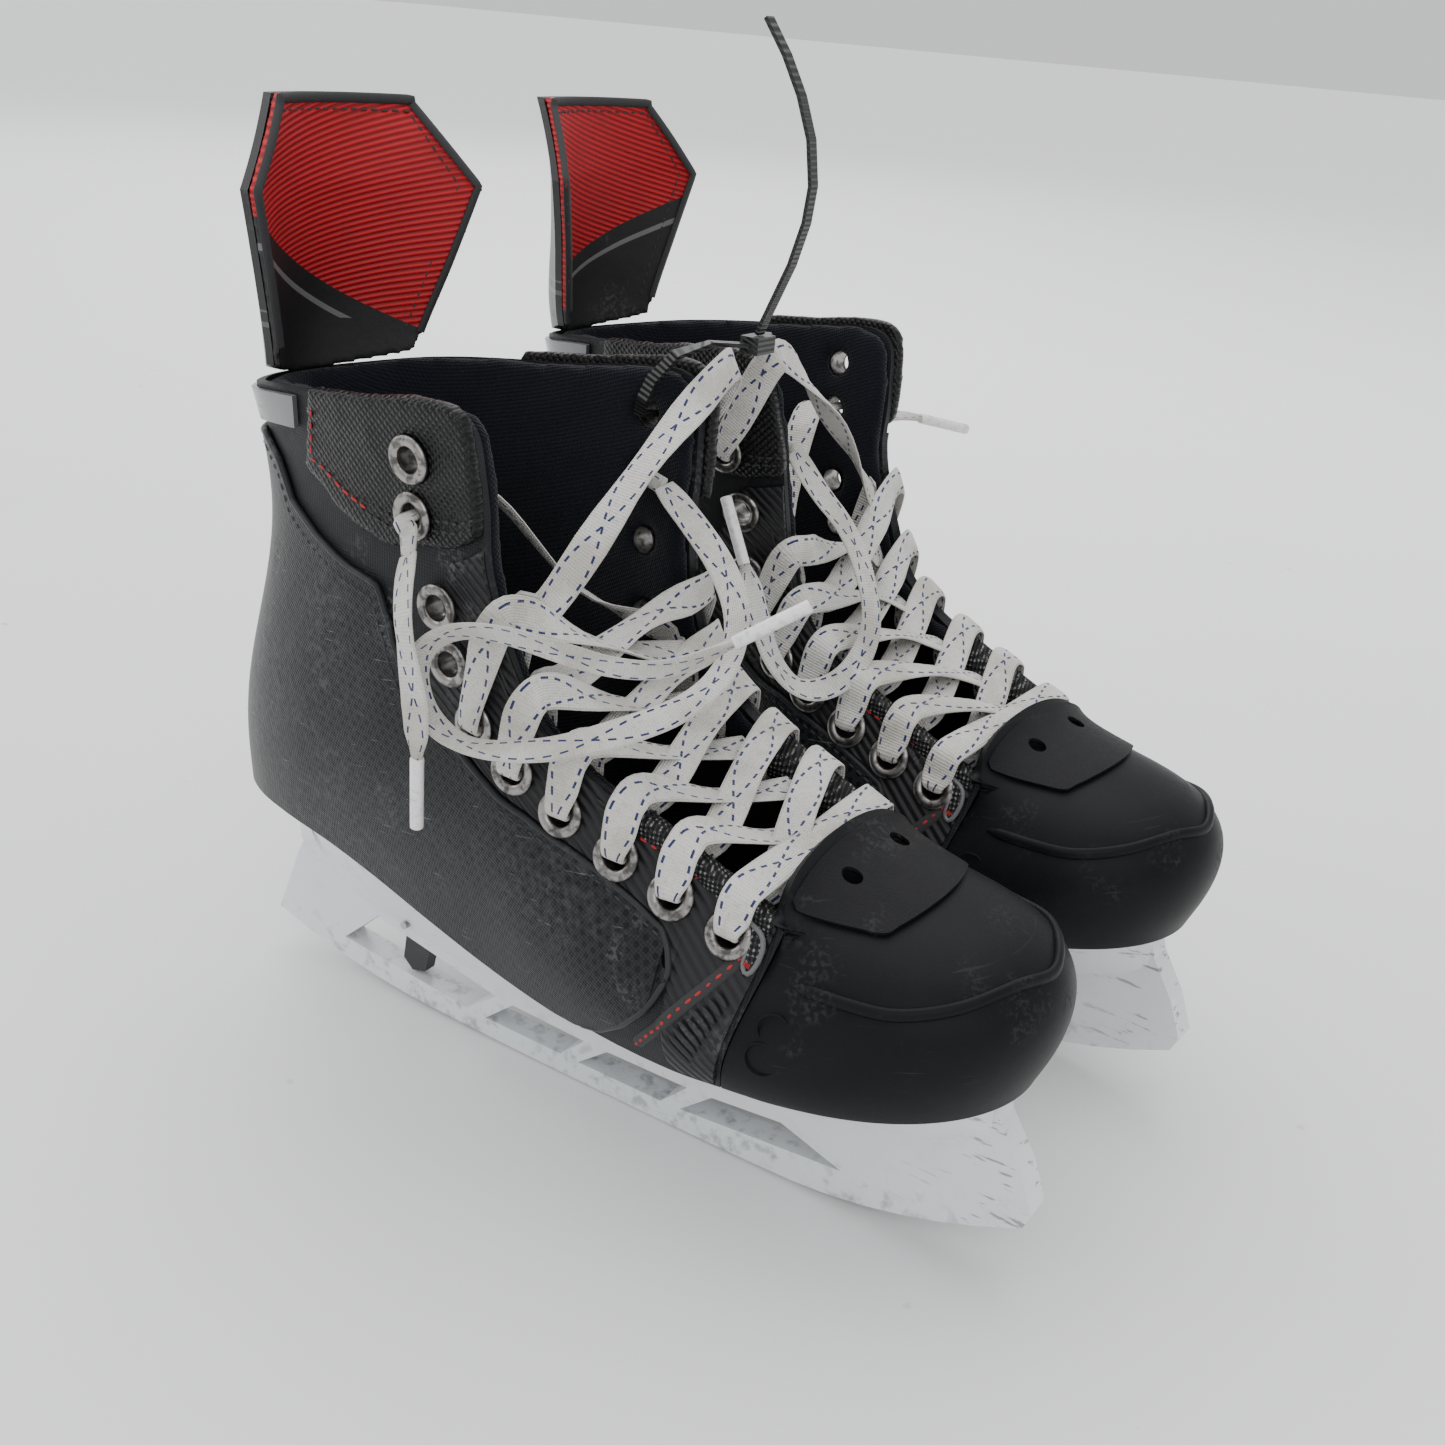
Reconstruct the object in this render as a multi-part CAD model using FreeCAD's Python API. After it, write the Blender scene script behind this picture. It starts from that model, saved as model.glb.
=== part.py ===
import FreeCAD, Part
import math
import os

# A pair of ice hockey skates without runners. The right skate is built in its own frame
# (+X to the toe, +Y to the wearer's left, z = 0 on the floor), and the left one is its mirror image.
# All sizes are in millimetres.

# the pair
skate_gap = 134.1          # between the two skates' centre planes
toe_in = 2.49              # degrees that each toe turns towards the other skate

# boot last
heel_back = -6.0           # x of the heel's foot edge
boot_length = 280.0        # heel foot edge to the toe's rim
ball_width = 86.0          # sole width at the ball
collar_height = 166.0      # collar above the forefoot's sole
sole_height = 46.5         # forefoot sole above the floor
heel_lift = 18.0
heel_ramp_start = 25.0
heel_ramp_end = 125.0
toe_spring = 14.0
spring_start = 145.0

# layers of the boot's wall
shell_wall = 2.6
layer_gap = 0.3
liner_wall = 4.5
facing_wall = 1.1
quarter_wall = 1.7
quarter_gap = 0.45         # between the shell and the quarter
quarter_clearance = 0.02   # share of the wall's height between quarter and facing
wrap_wall = 4.0
trim_wall = 1.4
sole_thickness = 4.0
sole_fit = 0.9             # round the sole's edge
shell_lift = 2.0           # the shell's lower edge above the sole's underside
footbed_thickness = 4.0

# toe cap
cap_wall = 3.0
cap_gap = 0.5
cap_hole_radius = 2.9
panel_wall = 1.0
panel_gap = 0.6

# eyelets and laces
eyelet_bore = 3.6
eyelet_tube = 4.3
eyelet_flange = 6.9
eyelet_flange_height = 1.5
eyelet_flange_rounding = 0.9
eyelet_seat = 0.55         # between the flange and the layer it clamps
eyelet_sink = 0.3          # the barrel's end beyond the liner
hole_fit = 0.3
drill_start = 14.0         # depth inside the wall that the eyelet holes are drilled from
lace_width = 10.0
lace_thickness = 1.3
lace_neck = 5.4
lace_inside_gap = 3.2      # lace's middle off the liner's face
lace_outside_gap = 2.6     # lace's middle off the outermost layer
lace_edge_rise = 4.0       # lace's middle above the wall's edge where it bends over it
cord_diameter = 4.0
aglet_diameter = 4.0
aglet_length = 22.0

tie_width = 3.6
tie_thickness = 1.2

# holder
holder_nose = 283.0
holder_tail = -1.5
rail_width = 9.0
rocker_radius = 2600.0
rocker_centre = 148.0
tail_rise = 0.0018
tail_rise_start = 70.0
nose_rise = 0.0030
nose_rise_start = 205.0
slot_width = 3.2
slot_depth = 5.0
slot_tail_inset = 12.0
slot_nose_inset = 14.0
seat_gap = 0.1
rivet_radius = 2.2
rivet_fit = 0.1
rivet_foot = 5.5           # the rivet's lower end below the sole
rivet_reach = 0.8          # share of the sole that the rivet goes into
pin_fit = 0.02

# quick-release trigger
trigger_x = 60.0
trigger_z = 30.5
trigger_width = 4.6
trigger_side_gap = 0.4
trigger_boss = 3.4
trigger_pin_radius = 1.3
trigger_pin_fit = 0.05
pin_length = 16.0

# tendon guard
guard_wall = 3.0
guard_pad_wall = 3.2
guard_gap = 0.9            # above the collar's rear

Vector = FreeCAD.Vector
solids = {}


def add(node, shape):
    solids.setdefault(node, []).extend(shape.Solids)


# ---------------------------------------------------------------- the last
# One rib per station from the toe end (first) to the heel's centre (last), as shares of the
# boot's length, of half its ball width and of its collar height:
# foot x, foot half width, belly and cup (how far the wall swells out, low and high, in mm).
feet = [
    (0.755, 1.000, 6.5, 2.0),
    (0.700, 1.000, 7.5, 2.0),
    (0.616, 0.930, 7.5, 1.5),
    (0.523, 0.815, 6.5, 1.0),
    (0.430, 0.700, 5.5, 1.0),
    (0.344, 0.650, 5.0, 1.5),
    (0.265, 0.630, 5.0, 2.0),
    (0.194, 0.620, 4.5, 2.5),
    (0.122, 0.575, 2.5, 3.0),
    (0.060, 0.455, -0.5, 3.4),
    (0.018, 0.275, -4.0, 3.8),
    (0.000, 0.000, -6.5, 4.0),
]
# top x, top half width, top height above the forefoot's sole
lateral_tops = [
    (0.789, 0.800, 0.330),
    (0.700, 0.800, 0.385),
    (0.606, 0.830, 0.449),
    (0.523, 0.885, 0.527),
    (0.480, 0.945, 0.645),
    (0.452, 0.977, 0.780),
    (0.448, 1.012, 0.907),
    (0.423, 1.047, 1.021),
    (0.294, 1.012, 1.003),
    (0.168, 0.850, 0.979),
    (0.080, 0.550, 0.955),
    (0.038, 0.000, 0.943),
]
medial_tops = [
    (0.789, 0.800, 0.330),
    (0.703, 0.800, 0.385),
    (0.614, 0.815, 0.449),
    (0.545, 0.840, 0.530),
    (0.512, 0.840, 0.635),
    (0.498, 0.860, 0.760),
    (0.491, 0.953, 0.901),
    (0.459, 1.070, 1.027),
    (0.306, 1.023, 1.003),
    (0.168, 0.865, 0.979),
    (0.080, 0.565, 0.955),
    (0.038, 0.000, 0.943),
]
heel = len(feet) - 1       # station of the heel's centre; the medial toe end is at 2 * heel


def sole_z(x):
    ramp = min(max((heel_ramp_end - x) / (heel_ramp_end - heel_ramp_start), 0), 1)
    lift = heel_lift * ramp * ramp * (3 - 2 * ramp)
    ahead = max(x - spring_start, 0) / (heel_back + boot_length - spring_start)
    return sole_height + lift + toe_spring * ahead ** 1.3


def rib(station):
    side = -1 if station <= heel else 1
    k = station if station <= heel else 2 * heel - station
    foot_x, foot_y, belly, cup = feet[k]
    top_x, top_y, top_z = (lateral_tops if side < 0 else medial_tops)[k]
    half = ball_width / 2
    x = heel_back + foot_x * boot_length
    return (x, side * foot_y * half, sole_z(x) + shell_lift, heel_back + top_x * boot_length,
            side * top_y * half, sole_height + top_z * collar_height, belly, cup)


ribs = [rib(k) for k in range(2 * heel + 1)]


def along(u):
    """Rib values at a station between the given ones, by a cubic through its neighbours."""
    k = min(max(int(math.floor(u)), 0), len(ribs) - 2)
    t = u - k
    before = ribs[max(k - 1, 0)]
    after = ribs[min(k + 2, len(ribs) - 1)]
    values = []
    for a, b, c, d in zip(before, ribs[k], ribs[k + 1], after):
        rise = (c - a) / 2
        fall = (d - b) / 2
        values.append(b + t * (rise + t * (3 * (c - b) - 2 * rise - fall + t * (2 * (b - c) + rise + fall))))
    return values


def wall_point(u, v):
    foot_x, foot_y, foot_z, top_x, top_y, top_z, belly, cup = along(u)
    ahead = along(min(u + 0.05, 2 * heel))
    behind = along(max(u - 0.05, 0))
    run = Vector(ahead[0] - behind[0], ahead[1] - behind[1], 0).normalize()
    swell = belly * math.sin(math.pi * v) + cup * math.sin(2 * math.pi * v)
    base = Vector(foot_x, foot_y, foot_z)
    return base + (Vector(top_x, top_y, top_z) - base) * v + Vector(run.y, -run.x, 0) * -swell


def wall_normal(u, v):
    step = 0.03
    du = wall_point(min(u + step, 2 * heel), v) - wall_point(max(u - step, 0), v)
    dv = wall_point(u, min(v + step, 1)) - wall_point(u, min(v, 1) - min(v, step))
    return dv.cross(du).normalize()


def skin(u, v, depth):
    """A point of the boot's wall, depth inside its outer skin."""
    return wall_point(u, v) - wall_normal(u, v) * depth


# ---------------------------------------------------------------- solids from grids
def surface(grid):
    sheet = Part.BSplineSurface()
    sheet.interpolate(grid)
    return sheet


def closed(faces):
    body = Part.makeCompound(faces)
    body.sewShape()
    solid = Part.makeSolid(Part.Shell(body.Faces))
    if solid.Volume < 0:
        solid.reverse()
    return solid


def panel(outer_grid, inner_grid):
    outer = surface(outer_grid)
    inner = surface(inner_grid)
    u0, u1, v0, v1 = outer.bounds()
    p0, p1, q0, q1 = inner.bounds()
    pairs = [
        (outer.uIso(u0), inner.uIso(p0)),
        (outer.uIso(u1), inner.uIso(p1)),
        (outer.vIso(v0), inner.vIso(q0)),
        (outer.vIso(v1), inner.vIso(q1)),
    ]
    rims = [Part.makeRuledSurface(a.toShape(), b.toShape()) for a, b in pairs]
    return closed([outer.toShape(), inner.toShape()] + rims)


def span(start, stop, count):
    return [start + (stop - start) * i / (count - 1) for i in range(count)]


def wall_panel(u0, u1, low, high, outer_depth, inner_depth, columns, rows):
    """A piece of the wall between two depths; low and high give its edges at each station."""
    grids = []
    for depth in (outer_depth, inner_depth):
        grids.append([[skin(u, low(u) + (high(u) - low(u)) * t, depth) for t in span(0, 1, rows)]
                      for u in span(u0, u1, columns)])
    return panel(*grids)


def cylinder(base, direction, radius, length):
    return Part.makeCylinder(radius, length, base, direction)


def prism(points, width):
    """An outline in x and z, drawn across the skate's middle."""
    wire = Part.makePolygon([Vector(x, -width / 2, z) for x, z in points + points[:1]])
    return Part.Face(wire).extrude(Vector(0, width, 0))


def flat(value):
    return lambda u: value


# ---------------------------------------------------------------- shell, liner and facings
shell = wall_panel(0, 2 * heel, flat(0), flat(1), 0, shell_wall, 67, 9)
liner_start = shell_wall + layer_gap
liner = wall_panel(0.15, 2 * heel - 0.15, flat(0.06), flat(0.995), liner_start,
                   liner_start + liner_wall, 67, 9)


# the quarter's edge: station, lower and upper height share
quarter_edge = [
    (1.04, 0.500, 0.550), (1.12, 0.410, 0.620), (1.25, 0.320, 0.680), (1.57, 0.190, 0.705), (1.98, 0.080, 0.725),
    (2.40, 0.030, 0.725), (2.75, 0.020, 0.718), (3.14, 0.020, 0.700), (3.70, 0.020, 0.650), (4.78, 0.020, 0.592),
    (5.56, 0.020, 0.542), (6.30, 0.020, 0.530), (6.80, 0.020, 0.560), (7.10, 0.020, 0.600), (7.32, 0.020, 0.640),
    (7.70, 0.020, 0.660), (8.29, 0.020, 0.705), (8.84, 0.020, 0.763), (9.20, 0.020, 0.843), (9.60, 0.020, 0.895),
    (11.0, 0.020, 0.905),
]
front_panel_low = 0.06     # the facing's lower edge in front of the quarter


def quarter_span(u, column):
    k = u if u <= heel else 2 * heel - u
    for a, b in zip(quarter_edge, quarter_edge[1:]):
        if k <= b[0]:
            return a[column] + (b[column] - a[column]) * max(k - a[0], 0) / (b[0] - a[0])
    return quarter_edge[-1][column]


def quarter_low(u):
    return quarter_span(u, 1)


def quarter_high(u):
    return quarter_span(u, 2)


def facing_low(u):
    k = u if u <= heel else 2 * heel - u
    front = quarter_edge[0][0]
    if k > front:
        return quarter_high(u) + quarter_clearance
    return front_panel_low + (quarter_edge[0][2] - front_panel_low) * max(k - front + 0.12, 0) / 0.12


def facing_high(u):
    return min(0.998, wrap_low(u) - 0.035)


def wrap_low(u):
    k = u if u <= heel else 2 * heel - u
    return 0.735 + 0.105 * abs(k - 7.3) ** 1.5


facing_end = 6.2
wrap_start = 5.45
wrap_end = 8.45
facing_outer = -facing_wall - layer_gap
sides = {"lateral": 0, "medial": 1}
facings = {}
wraps = {}
for name, far in sides.items():
    start, stop = (0.12, facing_end) if not far else (2 * heel - facing_end, 2 * heel - 0.12)
    facings[name] = wall_panel(start, stop, facing_low, facing_high, facing_outer, -layer_gap, 61, 5)
    start, stop = (wrap_start, wrap_end) if not far else (2 * heel - wrap_end, 2 * heel - wrap_start)
    wraps[name] = wall_panel(start, stop, wrap_low, flat(1.02), -layer_gap - wrap_wall, -layer_gap, 19, 7)

quarter_start = quarter_edge[0][0]
quarter = wall_panel(quarter_start, 2 * heel - quarter_start, quarter_low, quarter_high,
                     -quarter_gap - quarter_wall, -quarter_gap, 161, 7)
add("quarter", quarter)

trims = []
for start in (8.75, 2 * heel - 10.45):
    trims.append(wall_panel(start, start + 1.7, flat(0.925), flat(0.992), -layer_gap - trim_wall,
                            -layer_gap, 11, 4))

# eyelets: station and height share of each, from the toe up
lateral_eyelets = [(0.57, 0.83), (1.25, 0.82), (1.92, 0.82), (2.65, 0.82), (3.50, 0.78), (4.45, 0.72),
                   (5.40, 0.71), (6.15, 0.73), (7.05, 0.81), (7.28, 0.91)]
medial_eyelets = [(0.58, 0.83), (1.24, 0.82), (1.90, 0.82), (2.62, 0.82), (3.42, 0.79), (4.27, 0.76),
                  (5.13, 0.76), (5.95, 0.80), (6.74, 0.83), (7.12, 0.91)]
top_pair = 8               # the two highest eyelets go through the wraps
eyelet_marks = {"lateral": lateral_eyelets, "medial": [(2 * heel - u, v) for u, v in medial_eyelets]}


def outer_depth(index):
    """Depth of the outermost layer that an eyelet clamps."""
    return -layer_gap - wrap_wall if index >= top_pair else facing_outer


def eyelet(u, v, index):
    axis = wall_normal(u, v)
    face = skin(u, v, outer_depth(index) - eyelet_seat)
    reach = liner_start + liner_wall + eyelet_sink - outer_depth(index) + eyelet_seat
    flange = cylinder(face, axis, eyelet_flange, eyelet_flange_height)
    rounded = flange.makeFillet(eyelet_flange_rounding, [flange.Edges[0]])
    body = rounded.fuse(cylinder(face - axis * reach, axis, eyelet_tube, reach + 0.2))
    return body.cut(cylinder(face - axis * (reach + 1), axis, eyelet_bore, reach + 6))


eyelets = []
drills = []
for name, marks in eyelet_marks.items():
    for index, (u, v) in enumerate(marks):
        eyelets.append(eyelet(u, v, index))
        axis = wall_normal(u, v)
        drills.append((name, index, cylinder(skin(u, v, drill_start), axis, eyelet_tube + hole_fit, drill_start + 10)))


def drilled(shape, names, lowest, highest):
    for name, index, drill in drills:
        if name in names and lowest <= index <= highest:
            shape = shape.cut(drill)
    return shape


last_eyelet = len(lateral_eyelets) - 1
shell = drilled(shell, sides, 0, last_eyelet)
liner = drilled(liner, sides, 0, last_eyelet)
for name in sides:
    facings[name] = drilled(facings[name], [name], 0, top_pair - 1)
    wraps[name] = drilled(wraps[name], [name], top_pair, last_eyelet)
    add(name + "_facing", facings[name])
    add(name + "_ankle_wrap", wraps[name])
add("boot_shell", shell)
add("liner", liner)
add("collar_trim", Part.makeCompound(trims))
add("eyelets", Part.makeCompound(eyelets))

# ---------------------------------------------------------------- laces
def strap(stops, thickness):
    """A flat strip through stops of (point, direction that its upper face looks, width)."""
    rings = []
    for i, (point, up, width) in enumerate(stops):
        run = stops[min(i + 1, len(stops) - 1)][0] - stops[max(i - 1, 0)][0]
        across = run.cross(up).normalize() * (width / 2)
        lift = across.cross(run).normalize() * (thickness / 2)
        ring = [point + across + lift, point + across - lift, point - across - lift, point - across + lift]
        rings.append(Part.makePolygon(ring + ring[:1]))
    return Part.makeLoft(rings, True, True)


upright = Vector(0, 0, 1)
inside_depth = liner_start + liner_wall
barrel_middle = inside_depth / 2 - 0.5


def wall_rise(u, v):
    return (wall_point(u, min(v + 0.02, 1)) - wall_point(u, v - 0.02)).normalize()


def mark(name, index):
    u, v = eyelet_marks[name][index]
    return u, v, wall_normal(u, v), wall_rise(u, v)


def rim(u, v, depth):
    """A point at the wall's upper edge, the way into the throat, and up, square to the edge line."""
    edge = skin(u, v, depth)
    inward = Vector(0, -wall_normal(u, v).y, 0).normalize()
    slope = wall_point(min(u + 0.1, 2 * heel), 1) - wall_point(max(u - 0.1, 0), 1)
    square = slope.cross(inward).normalize()
    return edge, inward, square if square.z > 0 else square * -1


def from_inside(name, index):
    """The lace out of an eyelet's barrel, up under the wall and over its edge into the throat."""
    u, v, out, rise = mark(name, index)
    edge, inward, above = rim(u, 0.995, inside_depth + lace_inside_gap)
    return [
        (skin(u, v, barrel_middle + 0.2), rise, lace_neck),
        (skin(u, v, inside_depth + 2.0), rise + out, lace_neck),
        (skin(u, (v + 1) / 2, inside_depth + lace_inside_gap), out, lace_width),
        (edge, out + above * 0.5, lace_width),
        (edge + inward * 7 + above * lace_edge_rise, above + out * 0.3, lace_width),
    ]


def from_outside(name, index):
    """The lace over the wall's edge and down into an eyelet."""
    u, v, out, rise = mark(name, index)
    edge, inward, above = rim(u, 1.03 if index >= top_pair else 0.998, outer_depth(index) - 2.2)
    return [
        (edge + inward * 9 + above * (lace_edge_rise + 0.6), above + out * 0.3, lace_width),
        (edge + above * lace_outside_gap, out + above, lace_width),
        (skin(u, (v + 1) / 2, outer_depth(index) - lace_outside_gap), out, lace_width),
        (skin(u, v, outer_depth(index) - lace_outside_gap - 0.2), out - rise, lace_neck + 1.2),
        (skin(u, v, barrel_middle), rise * -1, lace_neck),
    ]


def crossing(start, finish, lift):
    middle = (start[-1][0] + finish[0][0]) * 0.5 + upright * lift
    return strap(start + [(middle, upright, lace_width)] + finish, lace_thickness)


tight_pairs = 6            # eyelet pairs that the lace is pulled tight through
laces = [crossing(from_outside("lateral", 0)[::-1], from_outside("medial", 0), 0.5)]
for index in range(tight_pairs - 1):
    for here, there, lift in (("lateral", "medial", 2.4), ("medial", "lateral", -2.4)):
        laces.append(crossing(from_inside(here, index), from_outside(there, index + 1), lift))

# the last two crossings: one comes out through the lateral eyelet, the other ends inside the medial one
last_laced = tight_pairs + 2
u, v, out, rise = mark("lateral", last_laced)
outward = from_inside("medial", tight_pairs - 1)[:3] + [
    (Vector(112, 8, 158), upright, lace_width),
    (skin(u, v, inside_depth + 16), upright, lace_width),
    (skin(u, v, inside_depth + 3), upright, lace_neck),
    (skin(u, v, outer_depth(last_laced) - 2.6), upright, lace_neck),
    (skin(u, v, outer_depth(last_laced) - 4.4) + Vector(2.5, 0, -3), upright + out, lace_neck),
    (skin(u, v, outer_depth(last_laced) - 6.5) + Vector(4.5, 0, -8), out, lace_neck),
]
laces.append(strap(outward, lace_thickness))
lateral_exit = (outward[-1][0], outward[-1][0] - outward[-2][0])
u, v, out, rise = mark("medial", last_laced)
inward = from_outside("medial", last_laced)[:4] + [
    (skin(u, v, inside_depth + 2.2), rise * -1, lace_neck),
    (skin(u, v, inside_depth + 5.0) + Vector(6, 0, -1), out, lace_neck),
    (skin(u, v, inside_depth + 8.0) + Vector(14, 0, -2), out, lace_neck),
]
laces.append(crossing(from_inside("lateral", tight_pairs - 1), inward, 3))
medial_exit = (inward[-1][0], inward[-1][0] - inward[-2][0])
add("lace", Part.makeCompound(laces))

# free lace ends: each route runs on from the laced part, in the right or left skate's own frame
free_ends = {
    "lateral_lace_end_right": [(109, -62, 170), (113, -63, 155), (116, -63, 141), (115, -62, 128)],
    "medial_lace_end_right": [(140, 24, 181), (156, 18, 172), (168, 9, 163), (174, -5, 153), (171, -20, 145),
                              (162, -36, 141), (151, -49, 137), (137, -56, 134), (122, -57, 133),
                              (111, -57, 140), (109, -57, 153), (118, -56, 163), (132, -53, 166),
                              (147, -47, 163), (161, -38, 159), (174, -28, 160), (183, -19, 167)],
    "lateral_lace_end_left": [(106, -67, 184), (112, -78, 181)],
    "medial_lace_end_left": [(134, 22, 176), (147, 20, 165), (158, 22, 151), (166, 28, 136), (166, 40, 123),
                             (158, 53, 119), (150, 61, 130), (144, 62, 145), (136, 60, 158)],
}


def cord_path(points):
    """Straight runs joined by tangent arcs, each as large as its two runs allow."""
    edges = []
    radii = []
    begin = points[0]
    for before, corner, after in zip(points, points[1:], points[2:]):
        back = before - corner
        ahead = after - corner
        run = min(back.Length, ahead.Length) * 0.45
        half_turn = (math.pi - back.getAngle(ahead)) / 2
        radii.append(round(run / math.tan(half_turn), 1))
        back.normalize()
        ahead.normalize()
        start = corner + back * run
        stop = corner + ahead * run
        inward_dir = (back + ahead).normalize()
        radius = run / math.tan(half_turn)
        middle = corner + inward_dir * (radius / math.cos(half_turn) - radius)
        edges.append(Part.LineSegment(begin, start).toShape())
        edges.append(Part.Arc(start, middle, stop).toShape())
        begin = stop
    edges.append(Part.LineSegment(begin, points[-1]).toShape())
    return Part.Wire(edges), radii


def cord_tube(points):
    path, radii = cord_path(points)
    ring = Part.Circle(points[0], points[1] - points[0], cord_diameter / 2).toShape()
    tube = path.makePipeShell([Part.Wire([ring])], True, False)
    ratio = tube.Volume / (math.pi * cord_diameter ** 2 / 4 * path.Length)
    return tube, radii, path.Length, ratio


cords = {}
for node, route in free_ends.items():
    start, lead = lateral_exit if node.startswith("lateral") else medial_exit
    points = [start + lead.normalize() * 0.1] + [Vector(*p) for p in route]
    tube, radii, length, ratio = cord_tube(points)
    print(node, "length", round(length, 1), "radii", radii, "volume ratio", round(ratio, 3))
    tip = (points[-1] - points[-2]).normalize()
    aglet = cylinder(points[-1], tip, aglet_diameter / 2, aglet_length)
    cords[node] = (tube, aglet, points)

# ---------------------------------------------------------------- toe cap
rows = [0, 0.25, 0.5, 0.75, 1]
side_profile = [wall_point(0, v) for v in rows]
toe_tip = heel_back + boot_length
middle_profile = [
    (toe_tip, sole_z(toe_tip) + 1),
    (toe_tip + 6.0, sole_z(toe_tip) + 21),
    (toe_tip - 2.5, sole_z(toe_tip) + 39),
    (toe_tip - 32, sole_z(toe_tip) + 46.5),
    (toe_tip - 64, sole_z(toe_tip) + 56.5),
]


def blend_rows(values, v):
    """Smooth value at v through the five row values."""
    total = 0
    for i, a in enumerate(rows):
        share = 1
        for j, b in enumerate(rows):
            if j != i:
                share *= (v - b) / (a - b)
        total += values[i] * share
    return total


def cap_outer(turn, v):
    """turn goes from -1 at the lateral end over the tip to 1 at the medial end."""
    angle = turn * math.pi / 2
    across = math.sin(angle)
    ahead = max(math.cos(angle), 0) ** 0.8
    x = [s.x + (m[0] - s.x) * ahead for s, m in zip(side_profile, middle_profile)]
    y = [abs(s.y) * across for s in side_profile]
    z = [s.z + (m[1] - s.z) * ahead for s, m in zip(side_profile, middle_profile)]
    return Vector(blend_rows(x, v) + cap_gap, blend_rows(y, v), blend_rows(z, v))


def cap_skin(turn, v, depth):
    step = 0.02
    du = cap_outer(min(turn + step, 1), v) - cap_outer(max(turn - step, -1), v)
    dv = cap_outer(turn, min(v + step, 1)) - cap_outer(turn, max(v - step, 0))
    return cap_outer(turn, v) - du.cross(dv).normalize() * depth


def cap_panel(turn0, turn1, low, high, outer_depth, inner_depth, columns, rows_count):
    grids = []
    for depth in (outer_depth, inner_depth):
        grids.append([[cap_skin(t, low(t) + (high(t) - low(t)) * s, depth) for s in span(0, 1, rows_count)]
                      for t in span(turn0, turn1, columns)])
    return panel(*grids)


cap = cap_panel(-1, 1, flat(0), flat(1), 0, cap_wall, 41, 11)
vamp = cap_panel(-0.7, 0.7, lambda t: 0.745 + 0.7 * max(abs(t) - 0.42, 0), flat(0.975), -panel_gap - panel_wall,
                 -panel_gap, 25, 7)
for side in (-1, 1):
    hole = cylinder(Vector(toe_tip - 52, side * 13.5, 90), Vector(0, 0, 1), cap_hole_radius, 45)
    cap = cap.cut(hole)
    vamp = vamp.cut(hole)
add("toe_cap", cap)
add("vamp_panel", vamp)

# ---------------------------------------------------------------- sole and footbed
def closed_outline(inset, low):
    """The plan outline of the boot's floor, inset from the wall's outer skin."""
    points = [skin(u, low, inset) for u in span(0.25, 2 * heel - 0.25, 33)]
    points += [cap_skin(t, low, inset) for t in span(0.97, -0.97, 15)]
    curve = Part.BSplineCurve()
    curve.interpolate([Vector(p.x, p.y, 0) for p in points], True)
    return Part.Face(Part.Wire([curve.toShape()]))


def sole_slab(bottom, thickness, width):
    xs = span(heel_back - 25, toe_tip + 25, 31)
    edges = []
    for lift in (bottom, bottom + thickness):
        curve = Part.BSplineCurve()
        curve.interpolate([Vector(x, -width / 2, sole_z(x) + lift) for x in xs])
        edges.append(curve.toShape())
    face = Part.makeRuledSurface(edges[0], edges[1])
    return face.extrude(Vector(0, width, 0))


outline = closed_outline(shell_wall + layer_gap + sole_fit, 0.02)
outsole = outline.extrude(Vector(0, 0, 120)).common(sole_slab(0, sole_thickness, 140))
footbed_outline = closed_outline(liner_start + liner_wall + sole_fit, 0.1)
footbed = footbed_outline.extrude(Vector(0, 0, 120)).common(
    sole_slab(sole_thickness + layer_gap, footbed_thickness, 140))

# ---------------------------------------------------------------- holder
def rail_z(x):
    z = (x - rocker_centre) ** 2 / (2 * rocker_radius)
    return z + tail_rise * max(tail_rise_start - x, 0) ** 2 + nose_rise * max(x - nose_rise_start, 0) ** 2


def curve_points(x0, x1, count, lift):
    return [(x, rail_z(x) + lift) for x in span(x0, x1, count)]


web_outline = curve_points(holder_tail, holder_nose - 2, 25, 0)
web_outline += [(holder_nose, 26), (278, 38), (270, 50), (262, 72), (24, 80), (14, 50), (8, 38)]
web = prism(web_outline, rail_width)

# flare stations: x, height where the flare leaves the web, half width under the sole
flare_stations = [
    (10, 44, 9), (24, 36, 20), (46, 29, 23), (72, 25, 21), (98, 20, 17), (137, 19, 16),
    (178, 20, 20), (205, 24, 29), (232, 30, 33), (252, 36, 25), (268, 46, 9),
]
sections = []
for x, low, half in flare_stations:
    top = sole_z(x) + 8
    waist = rail_width / 2 - 0.2
    corners = [(-waist, low), (waist, low), (half, top), (-half, top)]
    ring = [Vector(x, y, z) for y, z in corners + corners[:1]]
    sections.append(Part.makePolygon(ring))
flare = Part.makeLoft(sections, True, False)
holder = web.fuse(flare).cut(sole_slab(-seat_gap, 60, 160))

windows = [
    [(30, 13), (45, 27), (97, 17), (85, 7.5)],
    [(93, 7), (104, 16.5), (133, 15.5), (124, 6.8)],
    [(131, 6.7), (142, 15.5), (172, 16), (163, 6.9)],
    [(170, 7.2), (181, 16.5), (205, 19), (226, 12)],
]
for window in windows:
    holder = holder.cut(prism(window, 120))
slot_ends = (holder_tail + slot_tail_inset, holder_nose - slot_nose_inset)
slot = prism(curve_points(*slot_ends, 21, -3) + curve_points(*slot_ends, 21, slot_depth)[::-1], slot_width)
holder = holder.cut(slot)

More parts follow.
